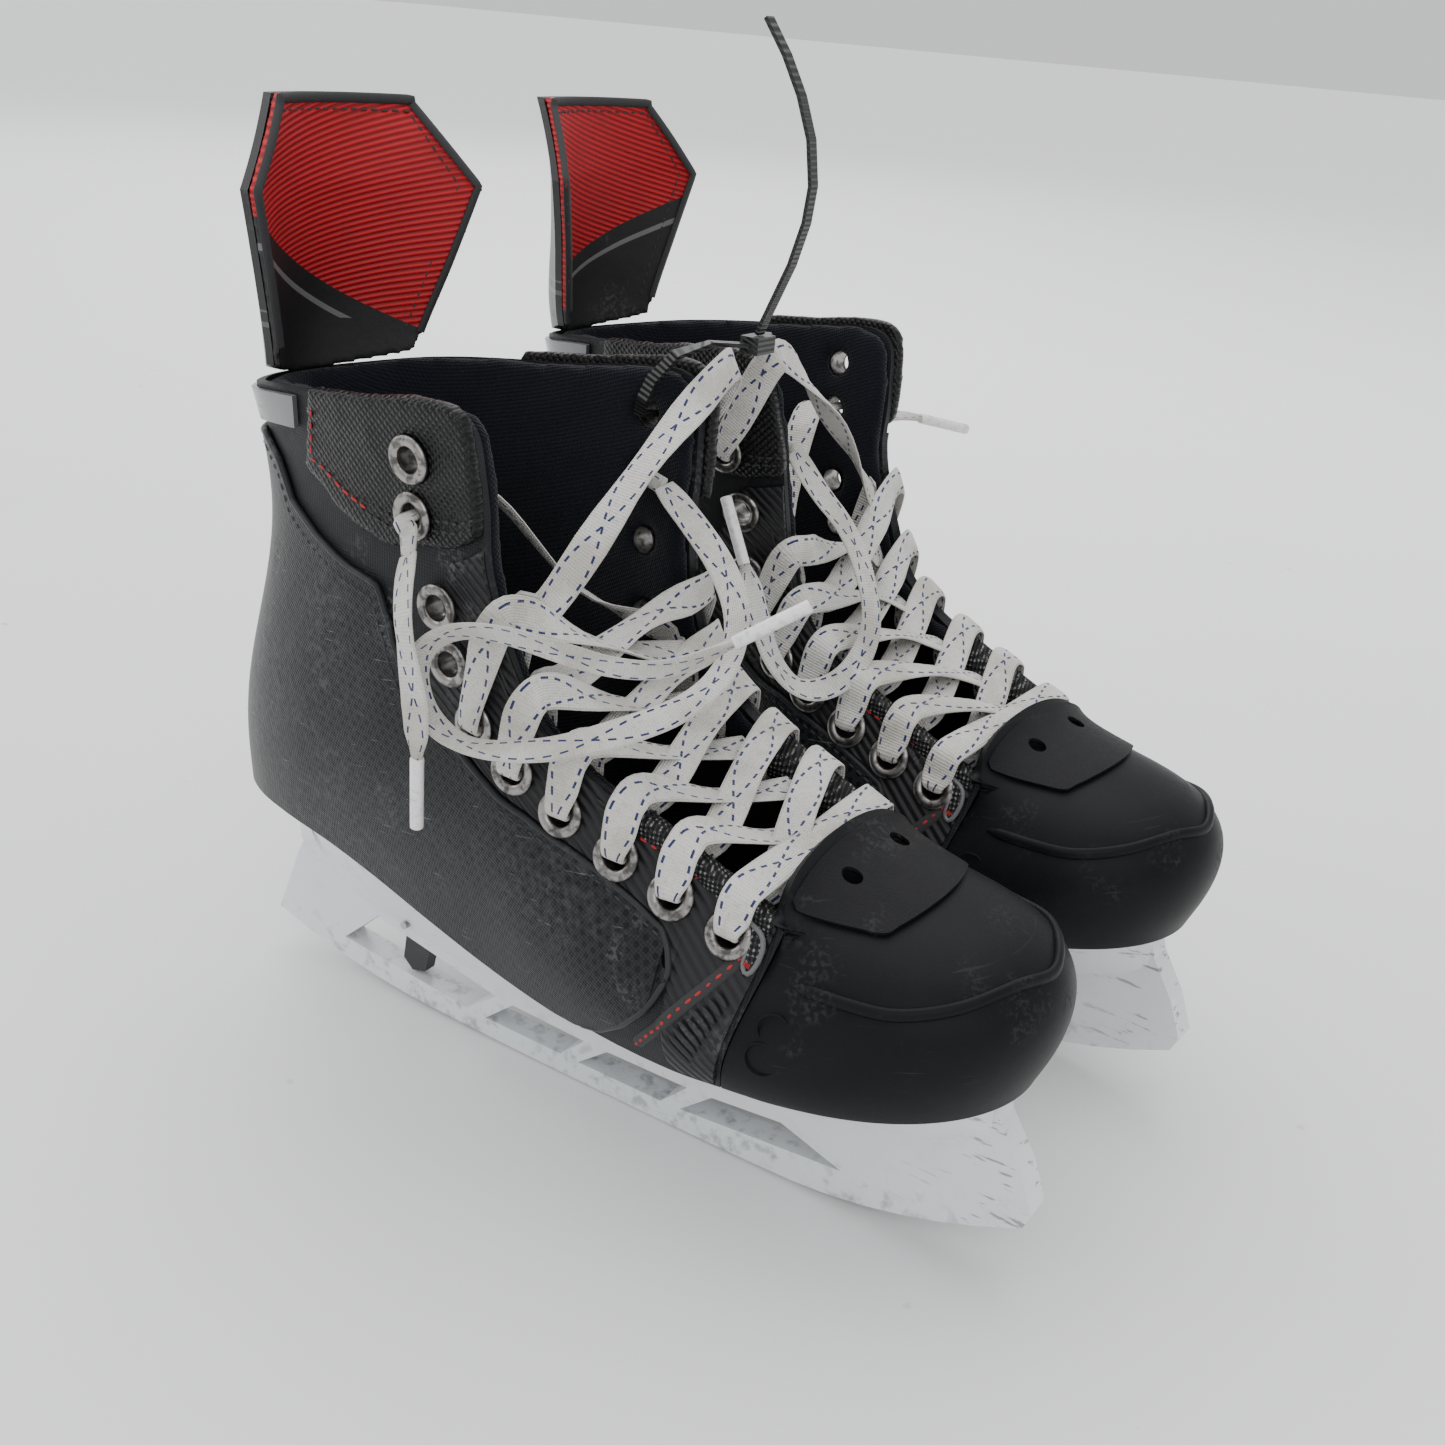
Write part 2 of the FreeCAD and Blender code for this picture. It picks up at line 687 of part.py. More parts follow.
# trigger: a tongue that hangs from a cross pin in a slot above the rear window
cavity_width = trigger_width + 2 * trigger_side_gap
cavity = prism([(trigger_x - 7, 20), (trigger_x - 7, trigger_z + 6), (trigger_x + 7, trigger_z + 6),
                (trigger_x + 12, 20)], cavity_width)
holder = holder.cut(cavity)
pin_base = Vector(trigger_x, -pin_length / 2, trigger_z)
side = Vector(0, 1, 0)
holder = holder.cut(cylinder(pin_base - side * 20, side, trigger_pin_radius + pin_fit, 60))
tongue = prism([(trigger_x - 3.2, trigger_z), (trigger_x + 3.2, trigger_z), (trigger_x + 6.5, 21),
                (trigger_x + 4.5, 12), (trigger_x - 1, 10.5), (trigger_x - 5, 14), (trigger_x - 4, 22)],
               trigger_width)
boss_base = Vector(trigger_x, -trigger_width / 2, trigger_z)
trigger = tongue.fuse(cylinder(boss_base, side, trigger_boss, trigger_width))
trigger = trigger.cut(cylinder(boss_base - side, side, trigger_pin_radius + trigger_pin_fit,
                               trigger_width + 2))
pin = cylinder(pin_base, side, trigger_pin_radius, pin_length)

# rivets through the flare's foot and the sole
rivet_spots = [(24, 10), (48, 15), (74, 12), (98, 9), (196, 16), (216, 22), (240, 18)]
rivets = []
for x, y in rivet_spots:
    for hand in (-1, 1):
        foot = Vector(x, hand * y, sole_z(x) - rivet_foot)
        rivet_length = rivet_foot + sole_thickness * rivet_reach
        shank = cylinder(foot, Vector(0, 0, 1), rivet_radius, rivet_length)
        hole = cylinder(foot - Vector(0, 0, 40), Vector(0, 0, 1), rivet_radius + rivet_fit, 60)
        rivets.append(shank)
        holder = holder.cut(hole)
        outsole = outsole.cut(cylinder(foot, Vector(0, 0, 1), rivet_radius + rivet_fit,
                                       rivet_length + rivet_fit))
add("outsole", outsole)
add("footbed", footbed)
add("holder", holder)
add("holder_rivets", Part.makeCompound(rivets))
add("trigger", trigger)
add("trigger_pin", pin)

# ---------------------------------------------------------------- tendon guard
# rows of the guard from its base up: height over the base, lateral edge x and half width,
# medial edge x and half width, and how far the middle lies behind the edges
guard_rows = [
    (0, 18.5, 21.5, 24.0, 28.0, 17.0),
    (12, 19.0, 22.5, 25.5, 31.0, 19.0),
    (34, 22.0, 28.5, 31.0, 38.5, 20.0),
    (56, 25.0, 35.0, 35.5, 46.0, 20.0),
    (68, 20.5, 25.5, 26.0, 39.5, 13.0),
    (80, 14.5, 16.0, 15.5, 33.5, 5.0),
]
guard_base_rise = 6.0      # the base edge rises this much towards its ends
guard_base_z = sole_height + lateral_tops[heel][2] * collar_height + guard_gap


def guard_point(row, t, depth):
    height, lateral_x, lateral_y, medial_x, medial_y, sag = row
    share = (t + 1) / 2
    x = lateral_x + (medial_x - lateral_x) * share - sag * (1 - t * t) + depth
    rise = guard_base_rise * t * t * (height == 0)
    return Vector(x, -lateral_y + (medial_y + lateral_y) * share, guard_base_z + height + rise)


def guard_panel(front, back):
    pieces = []
    halves = (guard_rows[:4], guard_rows[3:])
    for part in halves:
        grids = [[[guard_point(row, t, depth) for t in span(-1, 1, 9)] for row in part]
                 for depth in (back, front)]
        pieces.append(panel(*grids))
    return pieces[0].fuse(pieces[1])


guard = guard_panel(guard_wall, 0)
pad = guard_panel(guard_wall + layer_gap + guard_pad_wall, guard_wall + layer_gap)
add("tendon_guard", guard)
add("guard_pad", pad)

# ---------------------------------------------------------------- placing the pair
def place(shape):
    placed = shape.copy()
    placed.rotate(Vector(0, 0, 0), Vector(0, 0, 1), toe_in)
    placed.translate(Vector(0, -skate_gap / 2, 0))
    return placed


def move_left(shape):
    return place(shape).mirror(Vector(0, 0, 0), Vector(0, 1, 0))


# a nylon strap tie joins the two medial collars through their highest eyelets
def tie_stop(x, y, z, up, width):
    return (Vector(x, y, z), Vector(*up), width)


u, v, out, rise = mark("medial", last_eyelet)
mouths = [place(Part.Vertex(skin(u, v, depth))).Point for depth in (inside_depth + 2.5, outer_depth(last_eyelet) - 3)]
inner_mouth, outer_mouth = mouths
half_loop = [
    (Vector(0, 0, 0) + Vector(outer_mouth.x, 0, outer_mouth.z - 1.5), upright * -1, tie_width),
    (outer_mouth, upright * -1, tie_width),
    (inner_mouth, Vector(0, -1, -1), tie_width),
    (inner_mouth + Vector(3, -3, 5), Vector(0, -1, 0), tie_width),
    (Vector(115, -28, 216), Vector(0, -1, 0.2), tie_width),
    (Vector(120, -24, 223.5), Vector(0, -1, 1), tie_width),
    (Vector(125, -14, 226.5), upright, tie_width),
    (Vector(131, -4.6, 226), upright, tie_width),
]


def flip(stop):
    point, up, width = stop
    return (Vector(point.x, -point.y, point.z), Vector(up.x, -up.y, up.z), width)


loop = strap(half_loop[::-1] + [flip(s) for s in half_loop[1:]], tie_thickness)
head = Part.makeBox(6.4, 9, 5, Vector(128.5, -4.5, 223.5))
tail_route = [(132, 229), (134, 234), (141, 250), (144.5, 262), (145.5, 272), (143.5, 284), (139, 295),
              (133, 305), (126, 314)]
tail = strap([tie_stop(x, 0, z, (1, 0, 0.3), tie_width) for x, z in tail_route], tie_thickness)
tie = Part.makeCompound([loop, head.fuse(tail)])

os.makedirs("parts", exist_ok=True)
boxes = [place(Part.makeCompound(group)).BoundBox for group in solids.values()]
middle_x = (min(b.XMin for b in boxes) + max(b.XMax for b in boxes)) / 2
centre = Vector(-middle_x, 0, 0)
print("middle x", round(middle_x, 3))


def save(node, shape):
    shape.translate(centre)
    bad = [s for s in shape.Solids if not s.isValid()]
    print(node, "solids", len(shape.Solids), "volume", round(shape.Volume), "bad", len(bad))
    if len(shape.Solids) == 1:
        shape = shape.Solids[0]
    shape.exportStep("parts/" + node + ".step")


for node, group in solids.items():
    save(node + "_right", place(Part.makeCompound(group)))
    save(node + "_left", move_left(Part.makeCompound(group)))
for node, (tube, aglet, points) in cords.items():
    lay = place if node.endswith("right") else move_left
    save(node, lay(tube))
    save(node.replace("lace_end", "aglet"), lay(aglet))
    spots = [lay(Part.Vertex(p)).Point + centre for p in points]
    print(node, [tuple(round(c / 1000, 4) for c in spot) for spot in spots])
save("nylon_tie", tie)
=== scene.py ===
import math

import bpy
from mathutils import Matrix, Vector, noise


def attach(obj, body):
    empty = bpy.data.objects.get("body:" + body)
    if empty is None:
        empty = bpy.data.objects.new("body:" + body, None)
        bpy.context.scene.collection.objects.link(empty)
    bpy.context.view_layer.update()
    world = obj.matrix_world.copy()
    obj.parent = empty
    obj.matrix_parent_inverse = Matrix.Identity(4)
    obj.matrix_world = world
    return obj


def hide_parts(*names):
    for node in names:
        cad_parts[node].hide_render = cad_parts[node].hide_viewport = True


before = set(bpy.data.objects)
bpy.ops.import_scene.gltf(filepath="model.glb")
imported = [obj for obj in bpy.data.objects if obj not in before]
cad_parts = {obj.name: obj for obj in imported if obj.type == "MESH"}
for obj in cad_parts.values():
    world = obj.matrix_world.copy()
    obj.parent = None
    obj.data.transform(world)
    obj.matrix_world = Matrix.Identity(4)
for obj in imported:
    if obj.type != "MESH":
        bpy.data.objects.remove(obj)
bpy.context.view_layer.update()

sides = {"right": 1, "left": -1}
pair = {"toeIn": 2.49, "halfGap": 67.05, "middleX": 137.432}   # degrees, mm, mm


def toPair(point, side):
    # a point of the right skate's own drawing, in mm, to the pair's frame in metres
    x, y, z = point
    turn = math.radians(pair["toeIn"])
    px = x * math.cos(turn) - y * math.sin(turn) - pair["middleX"]
    py = x * math.sin(turn) + y * math.cos(turn) - pair["halfGap"]
    return Vector((px, py * sides[side], z)) / 1000


def turnPair(direction, side):
    return (toPair(direction, side) - toPair((0, 0, 0), side)) * 1000


def deselect():
    bpy.ops.object.select_all(action="DESELECT")


def makeActive(piece):
    deselect()
    piece.select_set(True)
    bpy.context.view_layer.objects.active = piece


def meshPiece(name, vertices, faces):
    mesh = bpy.data.meshes.new(name)
    mesh.from_pydata([tuple(v) for v in vertices], [], faces)
    mesh.update()
    piece = bpy.data.objects.new(name, mesh)
    bpy.context.scene.collection.objects.link(piece)
    return piece


def smoothShade(piece, degrees=40):
    makeActive(piece)
    bpy.ops.object.shade_smooth_by_angle(angle=math.radians(degrees))


def applyModifier(piece, kind, **settings):
    makeActive(piece)
    modifier = piece.modifiers.new(kind.lower(), kind)
    for key, value in settings.items():
        setattr(modifier, key, value)
    bpy.ops.object.modifier_apply(modifier=modifier.name)


def copyNode(node, name):
    # a merged copy of a CAD node's mesh
    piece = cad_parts[node].copy()
    piece.data = piece.data.copy()
    piece.name = name
    piece.parent = None
    for key in list(piece.keys()):
        del piece[key]
    bpy.context.scene.collection.objects.link(piece)
    piece.data.materials.clear()
    makeActive(piece)
    bpy.ops.object.mode_set(mode="EDIT")
    bpy.ops.mesh.select_all(action="SELECT")
    bpy.ops.mesh.remove_doubles(threshold=0.00001)
    bpy.ops.object.mode_set(mode="OBJECT")
    return piece


# ---- shader helpers
class Value:
    def __init__(self, finish, socket):
        self.finish = finish
        self.socket = socket

    def maths(self, operation, *others):
        return self.finish.node("Math", {"operation": operation}, [self, *others])

    def __add__(self, other): return self.maths("ADD", other)
    def __radd__(self, other): return self.maths("ADD", other)
    def __sub__(self, other): return self.maths("SUBTRACT", other)
    def __rsub__(self, other): return self.finish.node("Math", {"operation": "SUBTRACT"}, [other, self])
    def __mul__(self, other): return self.maths("MULTIPLY", other)
    def __rmul__(self, other): return self.maths("MULTIPLY", other)
    def __truediv__(self, other): return self.maths("DIVIDE", other)
    def __gt__(self, other): return self.maths("GREATER_THAN", other)
    def __lt__(self, other): return self.maths("LESS_THAN", other)
    def sine(self): return self.maths("SINE")
    def size(self): return self.maths("ABSOLUTE")
    def fract(self): return self.maths("FRACT")
    def floor(self): return self.maths("FLOOR")
    def least(self, other): return self.maths("MINIMUM", other)
    def most(self, other): return self.maths("MAXIMUM", other)

    def ramp(self, low, high):
        # 0 below low, 1 above high, smooth between
        kind = {"interpolation_type": "SMOOTHSTEP"}
        return self.finish.node("MapRange", kind, {"Value": self, "From Min": low, "From Max": high})


class Finish:
    def __init__(self, name, **fixed):
        self.material = bpy.data.materials.new(name)
        self.material.use_nodes = True
        self.nodes = self.material.node_tree.nodes
        self.links = self.material.node_tree.links
        self.shader = next(n for n in self.nodes if n.type == "BSDF_PRINCIPLED")
        for key, value in fixed.items():
            self.shader.inputs[key.replace("_", " ")].default_value = value
        self.coords = None

    def node(self, kind, settings=None, values=(), out=0):
        made = self.nodes.new("ShaderNode" + kind)
        for key, value in (settings or {}).items():
            if key == "stops":
                ramp = made.color_ramp
                while len(ramp.elements) < len(value):
                    ramp.elements.new(0.5)
                for element, (place, colour) in zip(ramp.elements, value):
                    element.position = place
                    element.color = (*colour, 1)
            else:
                setattr(made, key, value)
        pairs = values.items() if isinstance(values, dict) else enumerate(values)
        for key, value in pairs:
            if isinstance(value, Value):
                self.links.new(value.socket, made.inputs[key])
            else:
                made.inputs[key].default_value = value
        return Value(self, made.outputs[out])

    def point(self, scale=1000.0):
        # object coordinates in mm
        if self.coords is None:
            place = self.node("TexCoord", out="Object")
            self.coords = self.node("VectorMath", {"operation": "SCALE"}, {"Vector": place, "Scale": scale})
        return self.coords

    def split(self, vector=None):
        vector = vector or self.point()
        made = self.nodes.new("ShaderNodeSeparateXYZ")
        self.links.new(vector.socket, made.inputs[0])
        return [Value(self, out) for out in made.outputs]

    def join(self, x, y, z):
        return self.node("CombineXYZ", None, [x, y, z])

    def noise(self, scale, detail=3.0, vector=None, roughness=0.55):
        values = {"Vector": vector or self.point(), "Scale": scale, "Detail": detail, "Roughness": roughness}
        return self.node("TexNoise", None, values)

    def blend(self, share, a, b):
        made = self.nodes.new("ShaderNodeMix")
        made.data_type = "RGBA"
        for key, value in (("Factor", share), ("A", a), ("B", b)):
            kind = "VALUE" if key == "Factor" else "RGBA"
            socket = next(s for s in made.inputs if s.name == key and s.type == kind)
            if isinstance(value, Value):
                self.links.new(value.socket, socket)
            else:
                socket.default_value = value if key == "Factor" else (*value, 1)
        return Value(self, next(s for s in made.outputs if s.type == "RGBA"))

    def feed(self, key, value):
        if isinstance(value, Value):
            self.links.new(value.socket, self.shader.inputs[key])
        else:
            self.shader.inputs[key].default_value = value

    def bump(self, height, depth, strength=1.0):
        made = self.nodes.new("ShaderNodeBump")
        made.inputs["Strength"].default_value = strength
        made.inputs["Distance"].default_value = depth / 1000
        self.links.new(height.socket, made.inputs["Height"])
        self.links.new(made.outputs[0], self.shader.inputs["Normal"])


def paint(piece, finish):
    piece.data.materials.clear()
    piece.data.materials.append(finish.material)


def paintNode(node, finish):
    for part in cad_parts[node].material_slots:
        part.material = finish.material
    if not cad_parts[node].material_slots:
        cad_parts[node].data.materials.append(finish.material)


# ---- camera, floor and lights
view = {
    "place": (0.259354, -0.403163, 0.313268),
    "right": (0.81261, 0.57723, 0.08043),
    "up": (-0.29111, 0.28244, 0.91405),
    "back": (0.50490, -0.76618, 0.39755),
    "lens": 40.46,
}
camera = bpy.data.objects.new("camera", bpy.data.cameras.new("camera"))
bpy.context.scene.collection.objects.link(camera)
columns = [Vector(view[key]) for key in ("right", "up", "back")]
camera.matrix_world = Matrix([[c[row] for c in columns] + [view["place"][row]] for row in range(3)] + [[0, 0, 0, 1]])
camera.data.lens = view["lens"]
camera.data.sensor_width = 36
camera.data.clip_start = 0.01
bpy.context.scene.camera = camera

deselect()
bpy.ops.mesh.primitive_plane_add(size=60, location=(0, 0, -0.0004))
floor = bpy.context.object
floor.name = "floor"
floorFinish = Finish("paleFloor", Roughness=0.6)
speck = floorFinish.noise(0.045, 2.0).ramp(0.74, 0.78)
mottle = floorFinish.noise(0.004, 4.0)
tone = floorFinish.blend(mottle, (0.80, 0.81, 0.80), (0.86, 0.86, 0.855))
floorFinish.feed("Base Color", floorFinish.blend(speck, tone, (0.62, 0.62, 0.61)))
# the sweep behind the skates is lit up more than the floor in front of them
glow = floorFinish.split()[1].ramp(-100.0, 1300.0)
floorFinish.feed("Emission Color", floorFinish.blend(glow, (0.0, 0.0, 0.0), (0.96, 0.97, 1.0)))
floorFinish.shader.inputs["Emission Strength"].default_value = 0.42
paint(floor, floorFinish)

lamps = {
    "overhead": {"place": (-0.3, 0.3, 1.9), "aim": (0, 0, 0.1), "size": 2.2, "power": 30},
    "front": {"place": (1.2, -1.5, 1.3), "aim": (0, 0, 0.1), "size": 1.6, "power": 15},
    "left": {"place": (-1.7, -0.8, 1.1), "aim": (0, 0, 0.1), "size": 1.4, "power": 12},
    "rear": {"place": (-1.9, 1.9, 1.7), "aim": (-0.7, 0.9, 0), "size": 2.0, "power": 22},
}
for name, lamp in lamps.items():
    light = bpy.data.lights.new(name, "AREA")
    light.shape = "SQUARE"
    light.size = lamp["size"]
    light.energy = lamp["power"]
    holder = bpy.data.objects.new(name, light)
    bpy.context.scene.collection.objects.link(holder)
    aim = Vector(lamp["aim"]) - Vector(lamp["place"])
    holder.matrix_world = Matrix.Translation(lamp["place"]) @ aim.to_track_quat("-Z", "Y").to_matrix().to_4x4()
world = bpy.data.worlds.new("paleRoom")
world.use_nodes = True
world.node_tree.nodes["Background"].inputs["Color"].default_value = (0.94, 0.95, 0.96, 1)
world.node_tree.nodes["Background"].inputs["Strength"].default_value = 0.86
bpy.context.scene.world = world
print("stage: camera, floor and lights")

# ---- laces
lace = {"width": 10.0, "neck": 5.4, "thickness": 1.3, "cup": 0.45}


def laceFinish():
    finish = Finish("laceWeave", Roughness=0.85)
    finish.shader.inputs["Sheen Weight"].default_value = 0.25
    uv = finish.node("UVMap", {"uv_map": "run"})
    along, across, _ = finish.split(uv)          # mm along the lace, 0 to 1 across it
    width = across * lace["width"]
    warp = ((width + along * 0.8) * 4.2).sine()
    weft = ((width - along * 0.8) * 4.2).sine()
    basket = warp * weft
    edge = ((across - 0.5).size() * 2).ramp(0.80, 0.98)
    soil = finish.noise(0.05, 4.0)
    grime = finish.noise(0.8, 4.0)
    pale = finish.blend(soil.ramp(0.42, 0.68), (0.80, 0.79, 0.75), (0.58, 0.56, 0.49))
    pale = finish.blend(grime.ramp(0.50, 0.72) * 0.4, pale, (0.42, 0.41, 0.37))
    # painted shade: the weave's hollows are darker than its crests
    pale = finish.blend(basket.ramp(-0.7, 0.3) * 0.32, finish.blend(0.42, pale, (0.30, 0.29, 0.27)), pale)
    pale = finish.blend(edge * 0.35, pale, (0.40, 0.39, 0.36))
    wander = (along * 0.084).sine() * 0.38
    dash = ((along / 4.2).fract() - 0.5).size() < 0.26
    line = ((across - 0.5 - wander).size() < 0.038) * dash
    other = ((across - 0.5 + wander).size() < 0.038) * dash
    tracer = line.most(other)
    finish.feed("Base Color", finish.blend(tracer, pale, (0.012, 0.02, 0.10)))
    finish.bump(basket * 0.7 + grime * 0.6, 0.22)
    return finish


laceWeave = laceFinish()


def smoothStops(stops, share=6):
    # catmull spline through stops of equal-length number lists
    made = []
    for i in range(len(stops) - 1):
        a, b = stops[max(i - 1, 0)], stops[i]
        c, d = stops[i + 1], stops[min(i + 2, len(stops) - 1)]
        for step in range(share):
            t = step / share
            row = []
            for p, q, r, s in zip(a, b, c, d):
                rise, fall = (r - p) / 2, (s - q) / 2
                row.append(q + t * (rise + t * (3 * (r - q) - 2 * rise - fall + t * (2 * (q - r) + rise + fall))))
            made.append(row)
    made.append(list(stops[-1]))
    return made


def ribbonRings(points, ups, widths, thicknesses, seed):
    # rounded flat sections along points, all in metres
    rings, lengths = [], []
    run = 0.0
    for i, point in enumerate(points):
        ahead = (points[min(i + 1, len(points) - 1)] - points[max(i - 1, 0)]).normalized()
        across = ahead.cross(ups[i])
        across = across.normalized() if across.length > 1e-6 else ahead.orthogonal()
        up = across.cross(ahead).normalized()
        if i:
            run += (point - points[i - 1]).length
        lengths.append(run * 1000)
        wobble = noise.noise(Vector((run * 45, seed, 0.3))) * 0.00035
        half, thick = widths[i] / 2, thicknesses[i] / 2
        ring = []
        for k in range(14):
            angle = 2 * math.pi * k / 14
            c, s = math.cos(angle), math.sin(angle)
            flat = math.copysign(abs(c) ** 0.55, c)
            crown = math.copysign(abs(s) ** 0.8, s)
            cup = lace["cup"] / 1000 * (flat * flat - 0.4) * min(half / 0.004, 1) ** 2
            ring.append(point + across * (flat * half) + up * (crown * thick + cup + wobble * (1 + flat)))
        rings.append(ring)
    return rings, lengths


def ribbonMesh(name, ribbons):
    # ribbons: list of (rings, lengths); one mesh, with a run UV map
    vertices, faces, coords = [], [], []
    for rings, lengths in ribbons:
        base, count = len(vertices), len(rings[0])
        across = []
        for k in range(count):
            angle = 2 * math.pi * k / count
            c = math.cos(angle)
            across.append(0.5 + 0.5 * math.copysign(abs(c) ** 0.55, c))
        for ring in rings:
            vertices.extend(ring)
        for i in range(len(rings) - 1):
            for k in range(count):
                n = (k + 1) % count
                faces.append([base + i * count + k, base + i * count + n,
                              base + (i + 1) * count + n, base + (i + 1) * count + k])
                coords.append([(lengths[i], across[k]), (lengths[i], across[n]),
                               (lengths[i + 1], across[n]), (lengths[i + 1], across[k])])
        faces.append([base + k for k in reversed(range(count))])
        coords.append([(lengths[0], across[k]) for k in reversed(range(count))])
        last = base + (len(rings) - 1) * count
        faces.append([last + k for k in range(count)])
        coords.append([(lengths[-1], across[k]) for k in range(count)])
    piece = meshPiece(name, vertices, faces)
    layer = piece.data.uv_layers.new(name="run")
    for face, corners in zip(piece.data.polygons, coords):
        for loop, corner in zip(face.loop_indices, corners):
            layer.data[loop].uv = corner
    smoothShade(piece, 60)
    return piece


# ---- the boot's wall, to lay things on: station u along it, share v of its height, depth inside its skin
last = {"back": -6.0, "length": 280.0, "ball": 86.0, "collar": 166.0, "sole": 46.5, "lift": 18.0,
        "rampStart": 25.0, "rampEnd": 125.0, "spring": 14.0, "springStart": 145.0, "heel": 11}
feet = [(0.755, 1.000, 6.5, 2.0), (0.700, 1.000, 7.5, 2.0), (0.616, 0.930, 7.5, 1.5), (0.523, 0.815, 6.5, 1.0),
        (0.430, 0.700, 5.5, 1.0), (0.344, 0.650, 5.0, 1.5), (0.265, 0.630, 5.0, 2.0), (0.194, 0.620, 4.5, 2.5),
        (0.122, 0.575, 2.5, 3.0), (0.060, 0.455, -0.5, 3.4), (0.018, 0.275, -4.0, 3.8), (0.000, 0.000, -6.5, 4.0)]
tops = {
    "lateral": [(0.789, 0.800, 0.330), (0.700, 0.800, 0.385), (0.606, 0.830, 0.449), (0.523, 0.885, 0.527),
                (0.480, 0.945, 0.645), (0.452, 0.977, 0.780), (0.448, 1.012, 0.907), (0.423, 1.047, 1.021),
                (0.294, 1.012, 1.003), (0.168, 0.850, 0.979), (0.080, 0.550, 0.955), (0.038, 0.000, 0.943)],
    "medial": [(0.789, 0.800, 0.330), (0.703, 0.800, 0.385), (0.614, 0.815, 0.449), (0.545, 0.840, 0.530),
               (0.512, 0.840, 0.635), (0.498, 0.860, 0.760), (0.491, 0.953, 0.901), (0.459, 1.070, 1.027),
               (0.306, 1.023, 1.003), (0.168, 0.865, 0.979), (0.080, 0.565, 0.955), (0.038, 0.000, 0.943)],
}


def ribAt(station):
    hand = "lateral" if station <= last["heel"] else "medial"
    k = station if station <= last["heel"] else 2 * last["heel"] - station
    across = last["ball"] / 2 * (-1 if hand == "lateral" else 1)
    footX, footY, belly, cup = feet[k]
    topX, topY, topZ = tops[hand][k]
    x = last["back"] + footX * last["length"]
    ramp = min(max((last["rampEnd"] - x) / (last["rampEnd"] - last["rampStart"]), 0), 1)
    ahead = max(x - last["springStart"], 0) / (last["back"] + last["length"] - last["springStart"])
    soleZ = last["sole"] + last["lift"] * ramp * ramp * (3 - 2 * ramp) + last["spring"] * ahead ** 1.3
    return (x, across * footY, soleZ + 2.0, last["back"] + topX * last["length"], across * topY,
            last["sole"] + topZ * last["collar"], belly, cup)


ribs = [ribAt(k) for k in range(2 * last["heel"] + 1)]


def between(u):
    k = min(max(int(math.floor(u)), 0), len(ribs) - 2)
    t = u - k
    row = []
    for p, q, r, s in zip(ribs[max(k - 1, 0)], ribs[k], ribs[k + 1], ribs[min(k + 2, len(ribs) - 1)]):
        rise, fall = (r - p) / 2, (s - q) / 2
        row.append(q + t * (rise + t * (3 * (r - q) - 2 * rise - fall + t * (2 * (q - r) + rise + fall))))
    return row


def wallPoint(u, v):
    footX, footY, footZ, topX, topY, topZ, belly, cup = between(u)
    end = 2 * last["heel"]
    ahead, behind = between(min(u + 0.05, end)), between(max(u - 0.05, 0))
    run = Vector((ahead[0] - behind[0], ahead[1] - behind[1], 0)).normalized()
    swell = belly * math.sin(math.pi * v) + cup * math.sin(2 * math.pi * v)
    foot = Vector((footX, footY, footZ))
    return foot + (Vector((topX, topY, topZ)) - foot) * v + Vector((run.y, -run.x, 0)) * -swell


def wallNormal(u, v):
    step = 0.03
    along = wallPoint(min(u + step, 2 * last["heel"]), v) - wallPoint(max(u - step, 0), v)
    up = wallPoint(u, min(v + step, 1)) - wallPoint(u, min(v, 1) - min(v, step))
    return up.cross(along).normalized()


def skin(u, v, depth):
    return wallPoint(u, v) - wallNormal(u, v) * depth


def mirrored(hand, u):
    return u if hand == "lateral" else 2 * last["heel"] - u


# eyelets: station and height share, from the toe up
eyeletMarks = {
    "lateral": [(0.57, 0.83), (1.25, 0.82), (1.92, 0.82), (2.65, 0.82), (3.50, 0.78), (4.45, 0.72),
                (5.40, 0.71), (6.15, 0.73), (7.05, 0.81), (7.28, 0.91)],
    "medial": [(0.58, 0.83), (1.24, 0.82), (1.90, 0.82), (2.62, 0.82), (3.42, 0.79), (4.27, 0.76),
               (5.13, 0.76), (5.95, 0.80), (6.74, 0.83), (7.12, 0.91)],
}
wall = {"inside": 7.4, "facing": -1.4, "wrap": -4.3, "barrel": 3.2, "topPair": 8, "tight": 6,
        "insideGap": 3.2, "outsideGap": 2.6, "edgeRise": 4.0}
upright = Vector((0, 0, 1))


def outerDepth(index):
    return wall["wrap"] if index >= wall["topPair"] else wall["facing"]


def holeAt(hand, index):
    u, v = eyeletMarks[hand][index]
    u = mirrored(hand, u)
    rise = (wallPoint(u, v + 0.02) - wallPoint(u, v - 0.02)).normalized()
    return u, v, wallNormal(u, v), rise


def rimAt(u, v, depth):
    # a point at the wall's upper edge, the way into the throat, and up, square to the edge line
    inward = Vector((0, -wallNormal(u, v).y, 0)).normalized()
    slope = wallPoint(min(u + 0.1, 2 * last["heel"]), 1) - wallPoint(max(u - 0.1, 0), 1)
    square = slope.cross(inward).normalized()
    return skin(u, v, depth), inward, square if square.z > 0 else square * -1


def fromInside(hand, index):
    # out of the barrel, up under the wall and over its edge into the throat
    u, v, out, rise = holeAt(hand, index)
    under = wall["inside"] + wall["insideGap"]
    edge, inward, above = rimAt(u, 0.995, under)
    return [
        (skin(u, v, wall["barrel"] + 0.2), rise, lace["neck"]),
        (skin(u, v, wall["inside"] + 2.0), rise + out, lace["neck"]),
        (skin(u, (v + 1) / 2, under), out, lace["width"]),
        (edge, out + above * 0.5, lace["width"]),
        (edge + inward * 7 + above * wall["edgeRise"], above + out * 0.3, lace["width"]),
    ]


